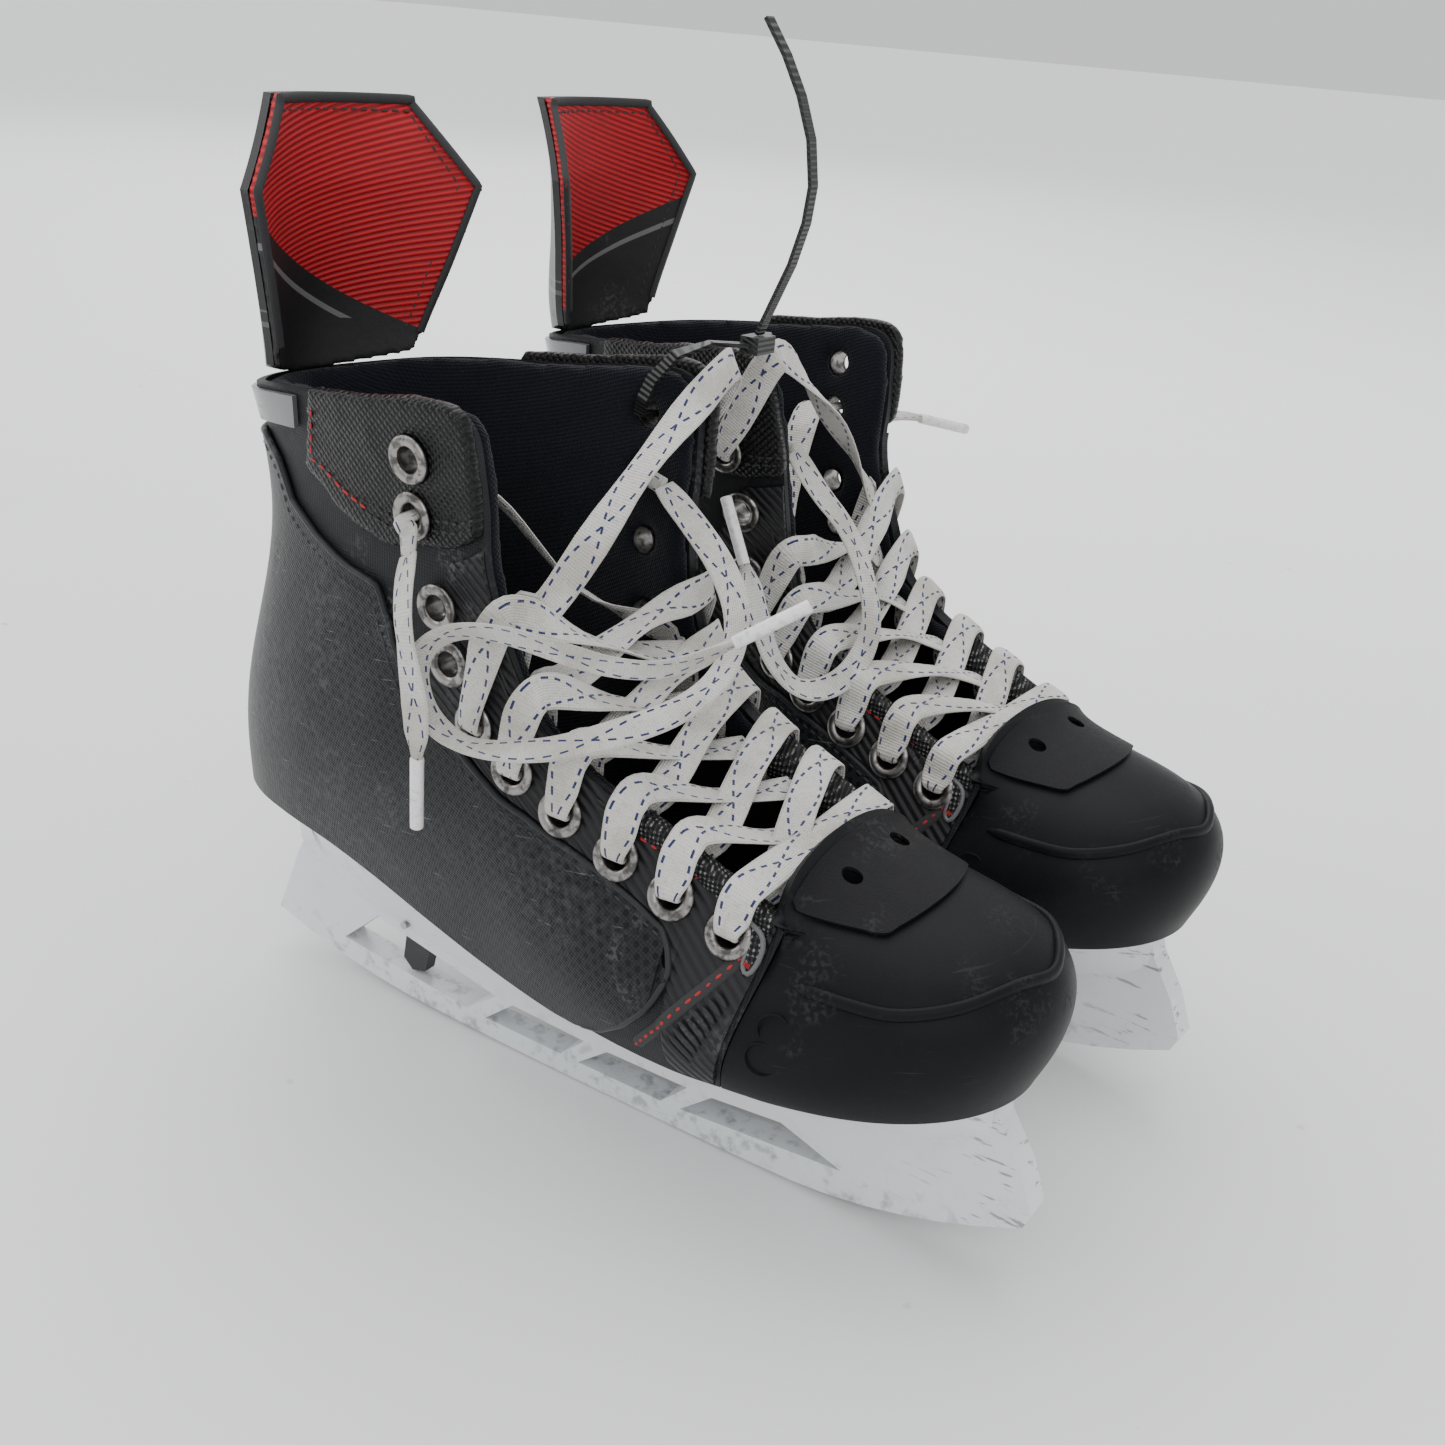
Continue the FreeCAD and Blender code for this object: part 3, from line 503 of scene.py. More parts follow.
def fromOutside(hand, index):
    # over the wall's edge and down into an eyelet
    u, v, out, rise = holeAt(hand, index)
    outer = outerDepth(index)
    edge, inward, above = rimAt(u, 1.03 if index >= wall["topPair"] else 0.998, outer - 2.2)
    return [
        (edge + inward * 9 + above * (wall["edgeRise"] + 0.6), above + out * 0.3, lace["width"]),
        (edge + above * wall["outsideGap"], out + above, lace["width"]),
        (skin(u, (v + 1) / 2, outer - wall["outsideGap"]), out, lace["width"]),
        (skin(u, v, outer - wall["outsideGap"] - 0.2), out - rise, lace["neck"] + 1.2),
        (skin(u, v, wall["barrel"]), rise * -1, lace["neck"]),
    ]


def crossing(start, finish, lift):
    middle = (start[-1][0] + finish[0][0]) * 0.5 + upright * lift
    return start + [(middle, upright, lace["width"])] + finish


def lacedStraps():
    straps = [crossing(fromOutside("lateral", 0)[::-1], fromOutside("medial", 0), 0.5)]
    for index in range(wall["tight"] - 1):
        for here, there, lift in (("lateral", "medial", 2.4), ("medial", "lateral", -2.4)):
            straps.append(crossing(fromInside(here, index), fromOutside(there, index + 1), lift))
    topOne = wall["topPair"]
    u, v, out, rise = holeAt("lateral", topOne)
    straps.append(fromInside("medial", wall["tight"] - 1)[:3] + [
        (Vector((112, 8, 158)), upright, lace["width"]),
        (skin(u, v, wall["inside"] + 16), upright, lace["width"]),
        (skin(u, v, wall["inside"] + 3), upright, lace["neck"]),
        (skin(u, v, wall["wrap"] - 2.6), upright, lace["neck"]),
        (skin(u, v, wall["wrap"] - 4.4) + Vector((2.5, 0, -3)), upright + out, lace["neck"]),
        (skin(u, v, wall["wrap"] - 6.5) + Vector((4.5, 0, -8)), out, lace["neck"]),
    ])
    u, v, out, rise = holeAt("medial", topOne)
    inward = fromOutside("medial", topOne)[:4] + [
        (skin(u, v, wall["inside"] + 2.2), rise * -1, lace["neck"]),
        (skin(u, v, wall["inside"] + 5.0) + Vector((6, 0, -1)), out, lace["neck"]),
        (skin(u, v, wall["inside"] + 8.0) + Vector((14, 0, -2)), out, lace["neck"]),
    ]
    straps.append(crossing(fromInside("lateral", wall["tight"] - 1), inward, 3))
    return straps


def layRibbon(stops, side, seed):
    rows = smoothStops([[*p, *u.normalized(), w] for p, u, w in stops])
    points = [toPair(row[:3], side) for row in rows]
    ups = [turnPair(row[3:6], side) for row in rows]
    widths = [row[6] / 1000 for row in rows]
    spread = [lace["thickness"] / 1000 * (1 + 0.9 * (1 - min(w / (lace["width"] / 1000), 1))) for w in widths]
    if side == "left":
        ups = [u * -1 for u in ups]
    return ribbonRings(points, ups, widths, spread, seed)


for side in sides:
    ribbons = [layRibbon(strap, side, seed) for seed, strap in enumerate(lacedStraps())]
    laced = ribbonMesh("lacing_" + side, ribbons)
    paint(laced, laceWeave)
    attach(laced, "skate_pair")
    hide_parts("lace_" + side)

# free lace ends: the route's points in metres, and how far the flat turns along it, in degrees
freeEnds = {
    "lateral_lace_end_right": {
        "route": [(-0.0324, -0.115, 0.1788), (-0.0258, -0.1243, 0.17), (-0.0218, -0.1251, 0.155),
                  (-0.0188, -0.125, 0.141), (-0.0198, -0.124, 0.128)],
        "face": (0, -1, 0.2), "turns": [0, 10, -15, 10]},
    "medial_lace_end_right": {
        "route": [(-0.0109, -0.0344, 0.1876), (0.0014, -0.037, 0.181), (0.0176, -0.0423, 0.172),
                  (0.03, -0.0508, 0.163), (0.0366, -0.0645, 0.153), (0.0343, -0.0796, 0.145),
                  (0.026, -0.096, 0.141), (0.0156, -0.1094, 0.137), (0.0019, -0.117, 0.134),
                  (-0.0131, -0.1187, 0.133), (-0.0241, -0.1192, 0.14), (-0.0261, -0.1193, 0.153),
                  (-0.0171, -0.1179, 0.163), (-0.0033, -0.1143, 0.166), (0.0115, -0.1076, 0.163),
                  (0.0251, -0.098, 0.159), (0.0376, -0.0875, 0.16), (0.0462, -0.0781, 0.167)],
        "face": (0.2, -0.6, 1), "turns": [0, 25, -20, 30, 10, -25, 0]},
    "lateral_lace_end_left": {
        "route": [(-0.0324, 0.115, 0.1788), (-0.0286, 0.1294, 0.184), (-0.0221, 0.1401, 0.181)],
        "face": (0, 0, 1), "turns": [0, 15]},
    "medial_lace_end_left": {
        "route": [(-0.0109, 0.0344, 0.1876), (-0.0045, 0.0392, 0.176), (0.0086, 0.0407, 0.165),
                  (0.0195, 0.0382, 0.151), (0.0272, 0.0319, 0.136), (0.0267, 0.0199, 0.123),
                  (0.0181, 0.0072, 0.119), (0.0098, -0.0004, 0.13), (0.0037, -0.0011, 0.145),
                  (-0.0042, 0.0012, 0.158)],
        "face": (0.3, -0.6, 1), "turns": [0, -20, 30, -10]},
}
# the free ends are narrower than the tight straps, because nothing holds them flat
tip = {"length": 22, "radius": 1.9, "width": 8.0, "neck": 2.9, "bulk": 2.4, "facets": 20}


def tipFinish():
    finish = Finish("clearTip", Roughness=0.22)
    finish.shader.inputs["Coat Weight"].default_value = 0.6
    streak = finish.noise(0.5, 4.0)
    finish.feed("Base Color", finish.blend(streak.ramp(0.45, 0.7), (0.80, 0.80, 0.79), (0.60, 0.60, 0.60)))
    finish.bump(streak, 0.1)
    return finish


clearTip = tipFinish()
for name, end in freeEnds.items():
    curve = bpy.data.curves.new(name + "_route", "CURVE")
    curve.dimensions = "3D"
    spline = curve.splines.new("NURBS")
    spline.points.add(len(end["route"]) - 1)
    for place, point in zip(spline.points, end["route"]):
        place.co = (*point, 1)
    spline.order_u = 3
    spline.use_endpoint_u = True
    spline.resolution_u = 10
    guide = bpy.data.objects.new(name + "_route", curve)
    bpy.context.scene.collection.objects.link(guide)
    line = bpy.data.meshes.new_from_object(guide)
    points = [v.co.copy() for v in line.vertices]
    bpy.data.objects.remove(guide)
    tail = (points[-1] - points[-2]).normalized()
    root = points[-1].copy()
    points += [root + tail * (tip["length"] / 1000 * k / 6) for k in range(1, 7)]
    # carry the flat's facing along the line, and turn it by the table
    ahead = (points[1] - points[0]).normalized()
    face = Vector(end["face"])
    face = (face - ahead * face.dot(ahead)).normalized()
    ups = []
    for i, point in enumerate(points):
        nextAhead = (points[min(i + 1, len(points) - 1)] - points[max(i - 1, 0)]).normalized()
        face = (face - nextAhead * face.dot(nextAhead)).normalized()
        place = i / (len(points) - 1) * (len(end["turns"]) - 1)
        low = min(int(place), len(end["turns"]) - 2)
        angle = end["turns"][low] + (end["turns"][low + 1] - end["turns"][low]) * (place - low)
        ups.append(Matrix.Rotation(math.radians(angle), 3, nextAhead) @ face)
    total = sum((b - a).length for a, b in zip(points, points[1:]))
    widths, thicknesses = [], []
    run = 0.0
    for i, point in enumerate(points):
        if i:
            run += (point - points[i - 1]).length
        fromTip = (total - run) * 1000
        spread = min(max((fromTip - tip["length"] + 1) / 9, 0), 1) * min(0.62 + run * 1000 / 20, 1)
        spread = spread * spread * (3 - 2 * spread)
        widths.append((tip["neck"] + (tip["width"] - tip["neck"]) * spread) / 1000)
        thicknesses.append((tip["bulk"] + (lace["thickness"] - tip["bulk"]) * spread) / 1000)
    rows = ribbonRings(points, ups, widths, thicknesses, len(name))
    ribbon = ribbonMesh(name.replace("lace_end", "loose_lace"), [rows])
    paint(ribbon, laceWeave)
    # the tip: a thin crimped sleeve at the lace's end
    deselect()
    middle = root + tail * (tip["length"] / 2000)
    turn = tail.to_track_quat("Z", "Y").to_euler()
    bpy.ops.mesh.primitive_cylinder_add(vertices=tip["facets"], radius=tip["radius"] / 1000,
                                        depth=tip["length"] / 1000, location=middle, rotation=turn)
    sleeve = bpy.context.object
    sleeve.name = name.replace("lace_end", "tip")
    bpy.ops.object.mode_set(mode="EDIT")
    bpy.ops.mesh.select_all(action="DESELECT")
    bpy.ops.object.mode_set(mode="OBJECT")
    for polygon in sleeve.data.polygons:
        polygon.select = abs(polygon.normal.z) > 0.9
    bpy.ops.object.mode_set(mode="EDIT")
    bpy.ops.mesh.inset(thickness=0.0004)
    bpy.ops.mesh.select_all(action="DESELECT")
    bpy.ops.object.mode_set(mode="OBJECT")
    bpy.ops.object.transform_apply(location=True, rotation=True, scale=True)
    applyModifier(sleeve, "BEVEL", width=0.0004, segments=3)
    smoothShade(sleeve, 50)
    paint(sleeve, clearTip)
    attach(ribbon, "skate_pair")
    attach(sleeve, "skate_pair")
    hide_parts(name)
    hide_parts(name.replace("lace_end", "aglet"))
print("laces and loose ends")

# ---- finishes of the moulded and woven pieces
def scuffs(finish, wide=0.035, low=0.55):
    # worn patches: 0 clean to 1 worn
    patch = finish.noise(wide, 4.0).ramp(low, low + 0.12)
    grit = finish.noise(0.7, 5.0).ramp(0.46, 0.62)
    return patch * grit


def scratches(finish, x, z, lean=0.35):
    # thin streaks that lean along the skate
    stretched = finish.join(x * 0.06 + z * lean * 0.2, 0.0, z * 1.1 - x * lean * 0.5)
    streak = finish.noise(1.0, 2.0, stretched)
    return (streak.ramp(0.66, 0.70)) * finish.noise(0.05, 2.0).ramp(0.45, 0.6)


def shellFinish():
    finish = Finish("shellUnderlay", Roughness=0.55, Specular_IOR_Level=0.16)
    x, y, z = finish.split()
    weave = ((x + z) * 3.2).sine() * ((x - z) * 3.2).sine()
    tone = finish.blend(finish.noise(0.03, 3.0), (0.010, 0.011, 0.012), (0.020, 0.021, 0.023))
    finish.feed("Base Color", finish.blend(scuffs(finish) * 0.6, tone, (0.10, 0.10, 0.105)))
    finish.feed("Roughness", finish.noise(0.08, 3.0) * 0.3 + 0.38)
    finish.bump(weave * 0.5 + finish.noise(0.9, 4.0), 0.10)
    return finish


def quarterFinish():
    # charcoal weave under a clear film, with rows of small hexagon dots
    finish = Finish("quarterWeave", Roughness=0.42, Specular_IOR_Level=0.17)
    x, y, z = finish.split()
    run, rise = x * 0.94 + z * 0.34, z * 0.94 - x * 0.34
    cells = []
    for shift in (0.0, 0.5):
        a = ((run / 5.6 + shift).fract() - 0.5) * 5.6
        b = ((rise / 3.2 + shift).fract() - 0.5) * 3.2
        cells.append(a.size().most(a.size() * 0.5 + b.size() * 0.866))
    dot = cells[0].least(cells[1]) < 0.85
    warp = (run * 4.6).sine() * (rise * 4.6).sine()
    tone = finish.blend(finish.noise(0.02, 3.0), (0.006, 0.007, 0.008), (0.015, 0.016, 0.018))
    tone = finish.blend(warp.ramp(-0.6, 0.6) * 0.35, tone, (0.034, 0.036, 0.039))
    tone = finish.blend(dot * 0.75, tone, (0.003, 0.003, 0.004))
    cloud = finish.noise(0.016, 3.0).ramp(0.50, 0.66) * finish.noise(0.35, 5.0).ramp(0.40, 0.70)
    tone = finish.blend(cloud * 0.30, tone, (0.085, 0.09, 0.095))
    worn = scuffs(finish, 0.045, 0.56)
    tone = finish.blend(worn * 0.40, tone, (0.12, 0.125, 0.13))
    finish.feed("Base Color", finish.blend(scratches(finish, x, z) * 0.5, tone, (0.22, 0.22, 0.225)))
    finish.feed("Roughness", worn * 0.3 + 0.36)
    finish.bump(warp * 0.35 - dot * 0.8 + finish.noise(0.25, 3.0) * 1.2, 0.14)
    return finish


def facingFinish():
    finish = Finish("facingRibs", Roughness=0.38, Specular_IOR_Level=0.2)
    x, y, z = finish.split()
    ribbing = ((x * 0.62 + z * 0.78) * 2.5).sine()
    tone = finish.blend(finish.noise(0.06, 3.0), (0.009, 0.009, 0.010), (0.018, 0.018, 0.020))
    # painted highlight: the rib crests are lighter than the grooves between them
    tone = finish.blend(ribbing.ramp(0.2, 1.0) * 0.4, tone, (0.035, 0.035, 0.038))
    finish.feed("Base Color", finish.blend(scuffs(finish) * 0.6, tone, (0.11, 0.11, 0.115)))
    finish.feed("Roughness", finish.noise(0.1, 3.0) * 0.3 + 0.25)
    finish.bump(ribbing + finish.noise(0.7, 3.0) * 0.4, 0.22)
    return finish


def wrapFinish():
    # pebbled glossy sheet with a diamond relief
    finish = Finish("wrapPebble", Roughness=0.3, Specular_IOR_Level=0.22)
    x, y, z = finish.split()
    relief = ((x + z) * 1.35).sine().size() * ((x - z) * 1.35).sine().size()
    pebble = finish.node("TexVoronoi", None, {"Vector": finish.point(), "Scale": 0.9})
    # painted shade: the grooves between the diamonds are darker than the diamonds
    tone = finish.blend(relief.ramp(0.1, 0.6), (0.003, 0.003, 0.0035), (0.009, 0.009, 0.010))
    finish.feed("Base Color", finish.blend(scuffs(finish, 0.06, 0.58) * 0.2, tone, (0.08, 0.08, 0.08)))
    finish.feed("Roughness", finish.noise(0.15, 3.0) * 0.25 + 0.18)
    finish.bump(relief * 1.2 + pebble * 0.5, 0.20)
    return finish


def liningFinish():
    finish = Finish("navyLining", Roughness=0.92, Specular_IOR_Level=0.15)
    finish.shader.inputs["Sheen Weight"].default_value = 0.08
    x, y, z = finish.split()
    knit = ((x * 0.5 + z) * 4.4).sine() * ((x - y) * 4.4).sine()
    tone = finish.blend(finish.noise(0.05, 4.0), (0.003, 0.0035, 0.007), (0.008, 0.009, 0.014))
    finish.feed("Base Color", finish.blend(finish.noise(1.4, 3.0).ramp(0.62, 0.72) * 0.15, tone, (0.05, 0.05, 0.06)))
    finish.bump(knit * 0.5 + finish.noise(0.5, 4.0) * 1.3, 0.30)
    return finish


def plasticFinish(name, dark, light, rough, worn, grain=0.05, shine=0.2):
    finish = Finish(name, Roughness=rough, Specular_IOR_Level=shine)
    x, y, z = finish.split()
    tone = finish.blend(finish.noise(0.04, 4.0), dark, light)
    wear = scuffs(finish, 0.05, 0.55).most(scratches(finish, x, z))
    finish.feed("Base Color", finish.blend(wear * 0.28, tone, worn))
    finish.feed("Roughness", wear * 0.25 + rough)
    finish.bump(finish.noise(2.2, 3.0) + finish.noise(0.15, 3.0) * 0.7, grain)
    return finish


def metalFinish(name, bright, dull, rough):
    finish = Finish(name, Metallic=1.0, Roughness=rough)
    tarnish = finish.noise(0.35, 4.0)
    finish.feed("Base Color", finish.blend(tarnish.ramp(0.45, 0.62), bright, dull))
    finish.feed("Roughness", tarnish * 0.3 + rough)
    finish.bump(finish.noise(1.6, 3.0), 0.03)
    return finish


def holderFinish():
    # pale moulded plastic, grey with handling, with dark rubs at the nose, and patchy painted shade low down along
    # the whole bottom
    finish = Finish("paleHolder", Roughness=0.34)
    finish.shader.inputs["Subsurface Weight"].default_value = 0.05
    x, y, z = finish.split()
    tone = finish.blend(finish.noise(0.02, 4.0), (0.70, 0.73, 0.76), (0.80, 0.82, 0.84))
    dirt = finish.noise(0.06, 5.0).ramp(0.50, 0.72) * finish.noise(0.9, 4.0).ramp(0.35, 0.65)
    tone = finish.blend(dirt * 0.28, tone, (0.46, 0.46, 0.45))
    streak = scratches(finish, x, z, 0.2)
    rub = finish.join(x * 0.12, y * 0.3, z * 0.9)
    nose = x.ramp(95.0, 135.0) * finish.noise(0.6, 6.0, rub).ramp(0.60, 0.66)
    # painted shade: darker towards the bottom, fading out by 24 mm up
    low = 1.0 - z.ramp(6.0, 24.0)
    tone = finish.blend(streak * 0.5, tone, (0.22, 0.22, 0.22))
    # real rubs at the nose together with the painted shade along the bottom
    noseRubsAndLowShade = (nose * 0.7).most(low * finish.noise(0.2, 4.0).ramp(0.5, 0.7) * 0.5)
    tone = finish.blend(noseRubsAndLowShade, tone, (0.10, 0.10, 0.10))
    finish.feed("Base Color", tone)
    finish.feed("Roughness", dirt * 0.3 + 0.28)
    finish.bump(finish.noise(0.5, 4.0) + streak * -0.8, 0.06)
    return finish


def padFinish():
    # red panel with fine slanted ribs; below a slanted edge it turns to smooth black
    finish = Finish("redRibbedPad", Roughness=0.55, Specular_IOR_Level=0.3)
    x, y, z = finish.split()
    medial = 67.0 - y.size()
    over = z + medial * 0.575 - 234.9             # mm above the slanted edge
    ridge = ((z - medial * 0.28) * 3.5).sine()
    # painted shade: the grooves between the ribs are a darker red than their crests
    red = finish.blend(ridge.ramp(-0.8, 0.6), (0.20, 0.004, 0.008), (0.46, 0.010, 0.016))
    red = finish.blend(finish.noise(0.08, 4.0).ramp(0.5, 0.7) * 0.4, red, (0.24, 0.012, 0.014))
    dark = finish.blend(scuffs(finish) * 0.5, (0.010, 0.010, 0.011), (0.07, 0.07, 0.07))
    stripe = (over + 7.0).size() < 0.9
    dark = finish.blend(stripe * (z > 219.0) * 0.8, dark, (0.16, 0.16, 0.165))
    isRed = over > 0.0
    finish.feed("Base Color", finish.blend(isRed, dark, red))
    finish.bump(ridge * isRed * 0.8 + finish.noise(0.6, 3.0) * 0.5, 0.22)
    return finish


def guardFinish():
    finish = Finish("guardShell", Roughness=0.40, Specular_IOR_Level=0.25)
    x, y, z = finish.split()
    tone = finish.blend(finish.noise(0.04, 4.0), (0.009, 0.009, 0.010), (0.018, 0.018, 0.020))
    stripe = ((z - 222.0).size() < 0.8).most((z - 226.0).size() < 0.35)
    tone = finish.blend(stripe, tone, (0.09, 0.09, 0.09))
    worn = scuffs(finish, 0.05, 0.54).most(z.ramp(276.0, 285.0) * finish.noise(0.8, 4.0).ramp(0.4, 0.6))
    finish.feed("Base Color", finish.blend(worn * 0.35, tone, (0.12, 0.12, 0.12)))
    finish.feed("Roughness", worn * 0.3 + 0.32)
    finish.bump(finish.noise(1.8, 3.0) + stripe * 0.8, 0.08)
    return finish


def tieFinish():
    finish = Finish("ribbedTie", Roughness=0.34, Specular_IOR_Level=0.35)
    x, y, z = finish.split()
    teeth = (z * 4.2 + x * 1.5).sine()
    finish.feed("Base Color", finish.blend(finish.noise(0.3, 3.0), (0.010, 0.010, 0.010), (0.026, 0.026, 0.027)))
    finish.bump(teeth + finish.noise(1.0, 2.0) * 0.4, 0.16)
    return finish


def threadFinish(name, colour):
    finish = Finish(name, Roughness=0.7)
    twist = finish.noise(2.4, 2.0)
    finish.feed("Base Color", finish.blend(twist, tuple(c * 0.6 for c in colour), colour))
    finish.bump(twist, 0.12)
    return finish


def meshBandFinish():
    # black open mesh: small holes darkened with painted shade, and painted pale glints between them
    finish = Finish("meshBand", Roughness=0.7, Specular_IOR_Level=0.25)
    x, y, z = finish.split()
    holes = ((x + z) * 2.3).sine() * ((x - z + y * 0.6) * 2.3).sine()
    glint = (holes > 0.42) * finish.noise(1.1, 3.0).ramp(0.46, 0.56)
    # painted shade: the holes are darker than the mesh between them
    tone = finish.blend(holes.ramp(-0.6, 0.2), (0.004, 0.004, 0.004), (0.022, 0.022, 0.024))
    finish.feed("Base Color", finish.blend(glint * 0.6, tone, (0.36, 0.36, 0.35)))
    finish.bump(holes, 0.30)
    return finish


moulded = {
    "boot_shell": shellFinish(), "quarter": quarterFinish(), "lateral_facing": facingFinish(),
    "collar_trim": plasticFinish("greyTrim", (0.07, 0.075, 0.08), (0.13, 0.135, 0.14), 0.16, (0.30, 0.30, 0.31),
                                 0.03, 0.6),
    "toe_cap": plasticFinish("toePlastic", (0.004, 0.0045, 0.005), (0.009, 0.010, 0.011), 0.44,
                             (0.06, 0.06, 0.065), 0.06, 0.10),
    "outsole": plasticFinish("solePlastic", (0.014, 0.014, 0.015), (0.026, 0.026, 0.028), 0.5, (0.12, 0.12, 0.12)),
    "holder": holderFinish(),
    "holder_rivets": metalFinish("rivetSteel", (0.46, 0.45, 0.43), (0.22, 0.19, 0.16), 0.30),
    "trigger": plasticFinish("triggerPlastic", (0.035, 0.035, 0.038), (0.06, 0.06, 0.065), 0.42, (0.18, 0.18, 0.18)),
    "trigger_pin": metalFinish("pinSteel", (0.50, 0.49, 0.47), (0.30, 0.28, 0.26), 0.26),
    "tendon_guard": guardFinish(),
}
moulded["medial_facing"] = moulded["lateral_facing"]
moulded["vamp_panel"] = plasticFinish("vampGrain", (0.004, 0.004, 0.005), (0.010, 0.010, 0.011), 0.5,
                                      (0.09, 0.09, 0.09), 0.22, 0.12)
for side in sides:
    for node, finish in moulded.items():
        if node + "_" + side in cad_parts:
            paintNode(node + "_" + side, finish)
paintNode("nylon_tie", tieFinish())
print("finishes of the moulded nodes")

# ---- padded pieces: remeshed copies of their CAD solids, softened
softPieces = {
    "liner": {"voxel": 1.9, "rounds": 3, "swell": 0.25, "ripple": 0.35, "finish": liningFinish(), "fill": 0.7,
              "slot": "liner", "body": "skate_pair"},
    "footbed": {"voxel": 2.0, "rounds": 2, "swell": 0.1, "ripple": 0.2, "finish": liningFinish(), "fill": 0.4,
                "slot": "footbed_foam", "body": "skate_pair"},
    "lateral_ankle_wrap": {"voxel": 1.1, "rounds": 4, "swell": 0.15, "ripple": 0.3, "finish": wrapFinish(),
                           "fill": 0.5, "slot": "wrap", "body": "skate_pair"},
    "guard_pad": {"voxel": 1.1, "rounds": 3, "swell": 0.1, "ripple": 0.15, "finish": padFinish(), "fill": 0.6,
                  "slot": "guard_lining", "body": "tendon_guard_body"},
}
softPieces["medial_ankle_wrap"] = softPieces["lateral_ankle_wrap"]
for node, soft in softPieces.items():
    for side in sides:
        pad = copyNode(node + "_" + side, "soft_" + node + "_" + side)
        applyModifier(pad, "REMESH", mode="VOXEL", voxel_size=soft["voxel"] / 1000)
        applyModifier(pad, "SMOOTH", factor=0.5, iterations=soft["rounds"])
        pad.data.update()
        normals = [v.normal.copy() for v in pad.data.vertices]
        for vertex, normal in zip(pad.data.vertices, normals):
            lump = noise.noise(vertex.co * 90) * soft["ripple"] + noise.noise(vertex.co * 260) * soft["ripple"] * 0.3
            vertex.co += normal * ((soft["swell"] + lump) / 1000)
        smoothShade(pad, 60)
        paint(pad, soft["finish"])
        body = soft["body"] if soft["body"] == "skate_pair" else soft["body"] + "_" + side
        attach(pad, body)
        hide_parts(node + "_" + side)
print("padded pieces")

# ---- eyelets: a rolled rim on a short barrel
eyelet = {"rim": 5.15, "roll": 1.65, "barrel": 3.75, "wall": 0.5, "flat": 0.62}
eyeletMetal = metalFinish("gunmetal", (0.30, 0.29, 0.28), (0.10, 0.095, 0.09), 0.20)
deselect()
bpy.ops.mesh.primitive_torus_add(major_segments=36, minor_segments=12, major_radius=eyelet["rim"] / 1000,
                                 minor_radius=eyelet["roll"] / 1000)
rollRim = bpy.context.object
rollRim.scale.z = eyelet["flat"]
bpy.ops.object.transform_apply(location=False, rotation=False, scale=True)
deselect()
bpy.ops.mesh.primitive_cylinder_add(vertices=36, radius=eyelet["barrel"] / 1000, depth=0.0096,
                                    location=(0, 0, -0.0046), end_fill_type="NOTHING")
barrel = bpy.context.object
applyModifier(barrel, "SOLIDIFY", thickness=eyelet["wall"] / 1000, offset=1)
bpy.ops.object.transform_apply(location=True, rotation=False, scale=False)
rollRim.select_set(True)
bpy.context.view_layer.objects.active = rollRim
bpy.ops.object.join()
pattern = bpy.context.object
for side in sides:
    copies = []
    for hand, marks in eyeletMarks.items():
        for index in range(len(marks)):
            u, v, out, rise = holeAt(hand, index)
            one = pattern.copy()
            one.data = pattern.data.copy()
            bpy.context.scene.collection.objects.link(one)
            seat = toPair(skin(u, v, outerDepth(index) - 1.0), side)
            turn = turnPair(out, side).to_track_quat("Z", "Y").to_matrix().to_4x4()
            one.data.transform(Matrix.Translation(seat) @ turn)
            copies.append(one)
    deselect()
    for one in copies:
        one.select_set(True)
    bpy.context.view_layer.objects.active = copies[0]
    bpy.ops.object.join()
    rims = bpy.context.object
    rims.name = "rolled_eyelets_" + side
    smoothShade(rims, 50)
    paint(rims, eyeletMetal)
    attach(rims, "skate_pair")
    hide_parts("eyelets_" + side)
bpy.data.objects.remove(pattern)
print("eyelets")


# ---- strips, beads and stitches laid on the wall
def tubeRows(points, outs, halfWidths, heights, facets=10):
    # a rounded strip: points on a surface, the surface's outward ways, half widths and heights in mm
    rows = []
    for i, point in enumerate(points):
        ahead = (points[min(i + 1, len(points) - 1)] - points[max(i - 1, 0)]).normalized()
        across = ahead.cross(outs[i]).normalized()
        out = across.cross(ahead).normalized()
        if out.dot(outs[i]) < 0:
            out = out * -1
        ring = []
        for k in range(facets):
            angle = 2 * math.pi * k / facets
            sideways, outwards = math.cos(angle) * halfWidths[i], math.sin(angle) * heights[i]
            ring.append(point + across * sideways + out * outwards)
        rows.append(ring)
    return rows


def rowsMesh(name, strips, side):
    # strips of rings in mm in the skate's own drawing, closed at both ends
    vertices, faces = [], []
    for rows in strips:
        base, count = len(vertices), len(rows[0])
        for ring in rows:
            vertices.extend(toPair(p, side) for p in ring)
        for i in range(len(rows) - 1):
            for k in range(count):
                n = (k + 1) % count
                faces.append([base + i * count + k, base + i * count + n,
                              base + (i + 1) * count + n, base + (i + 1) * count + k])
        faces.append([base + k for k in reversed(range(count))])
        faces.append([base + (len(rows) - 1) * count + k for k in range(count)])
    piece = meshPiece(name, vertices, faces)
    makeActive(piece)
    bpy.ops.object.mode_set(mode="EDIT")
    bpy.ops.mesh.select_all(action="SELECT")
    bpy.ops.mesh.normals_make_consistent(inside=False)
    bpy.ops.object.mode_set(mode="OBJECT")
    smoothShade(piece, 50)
    return piece


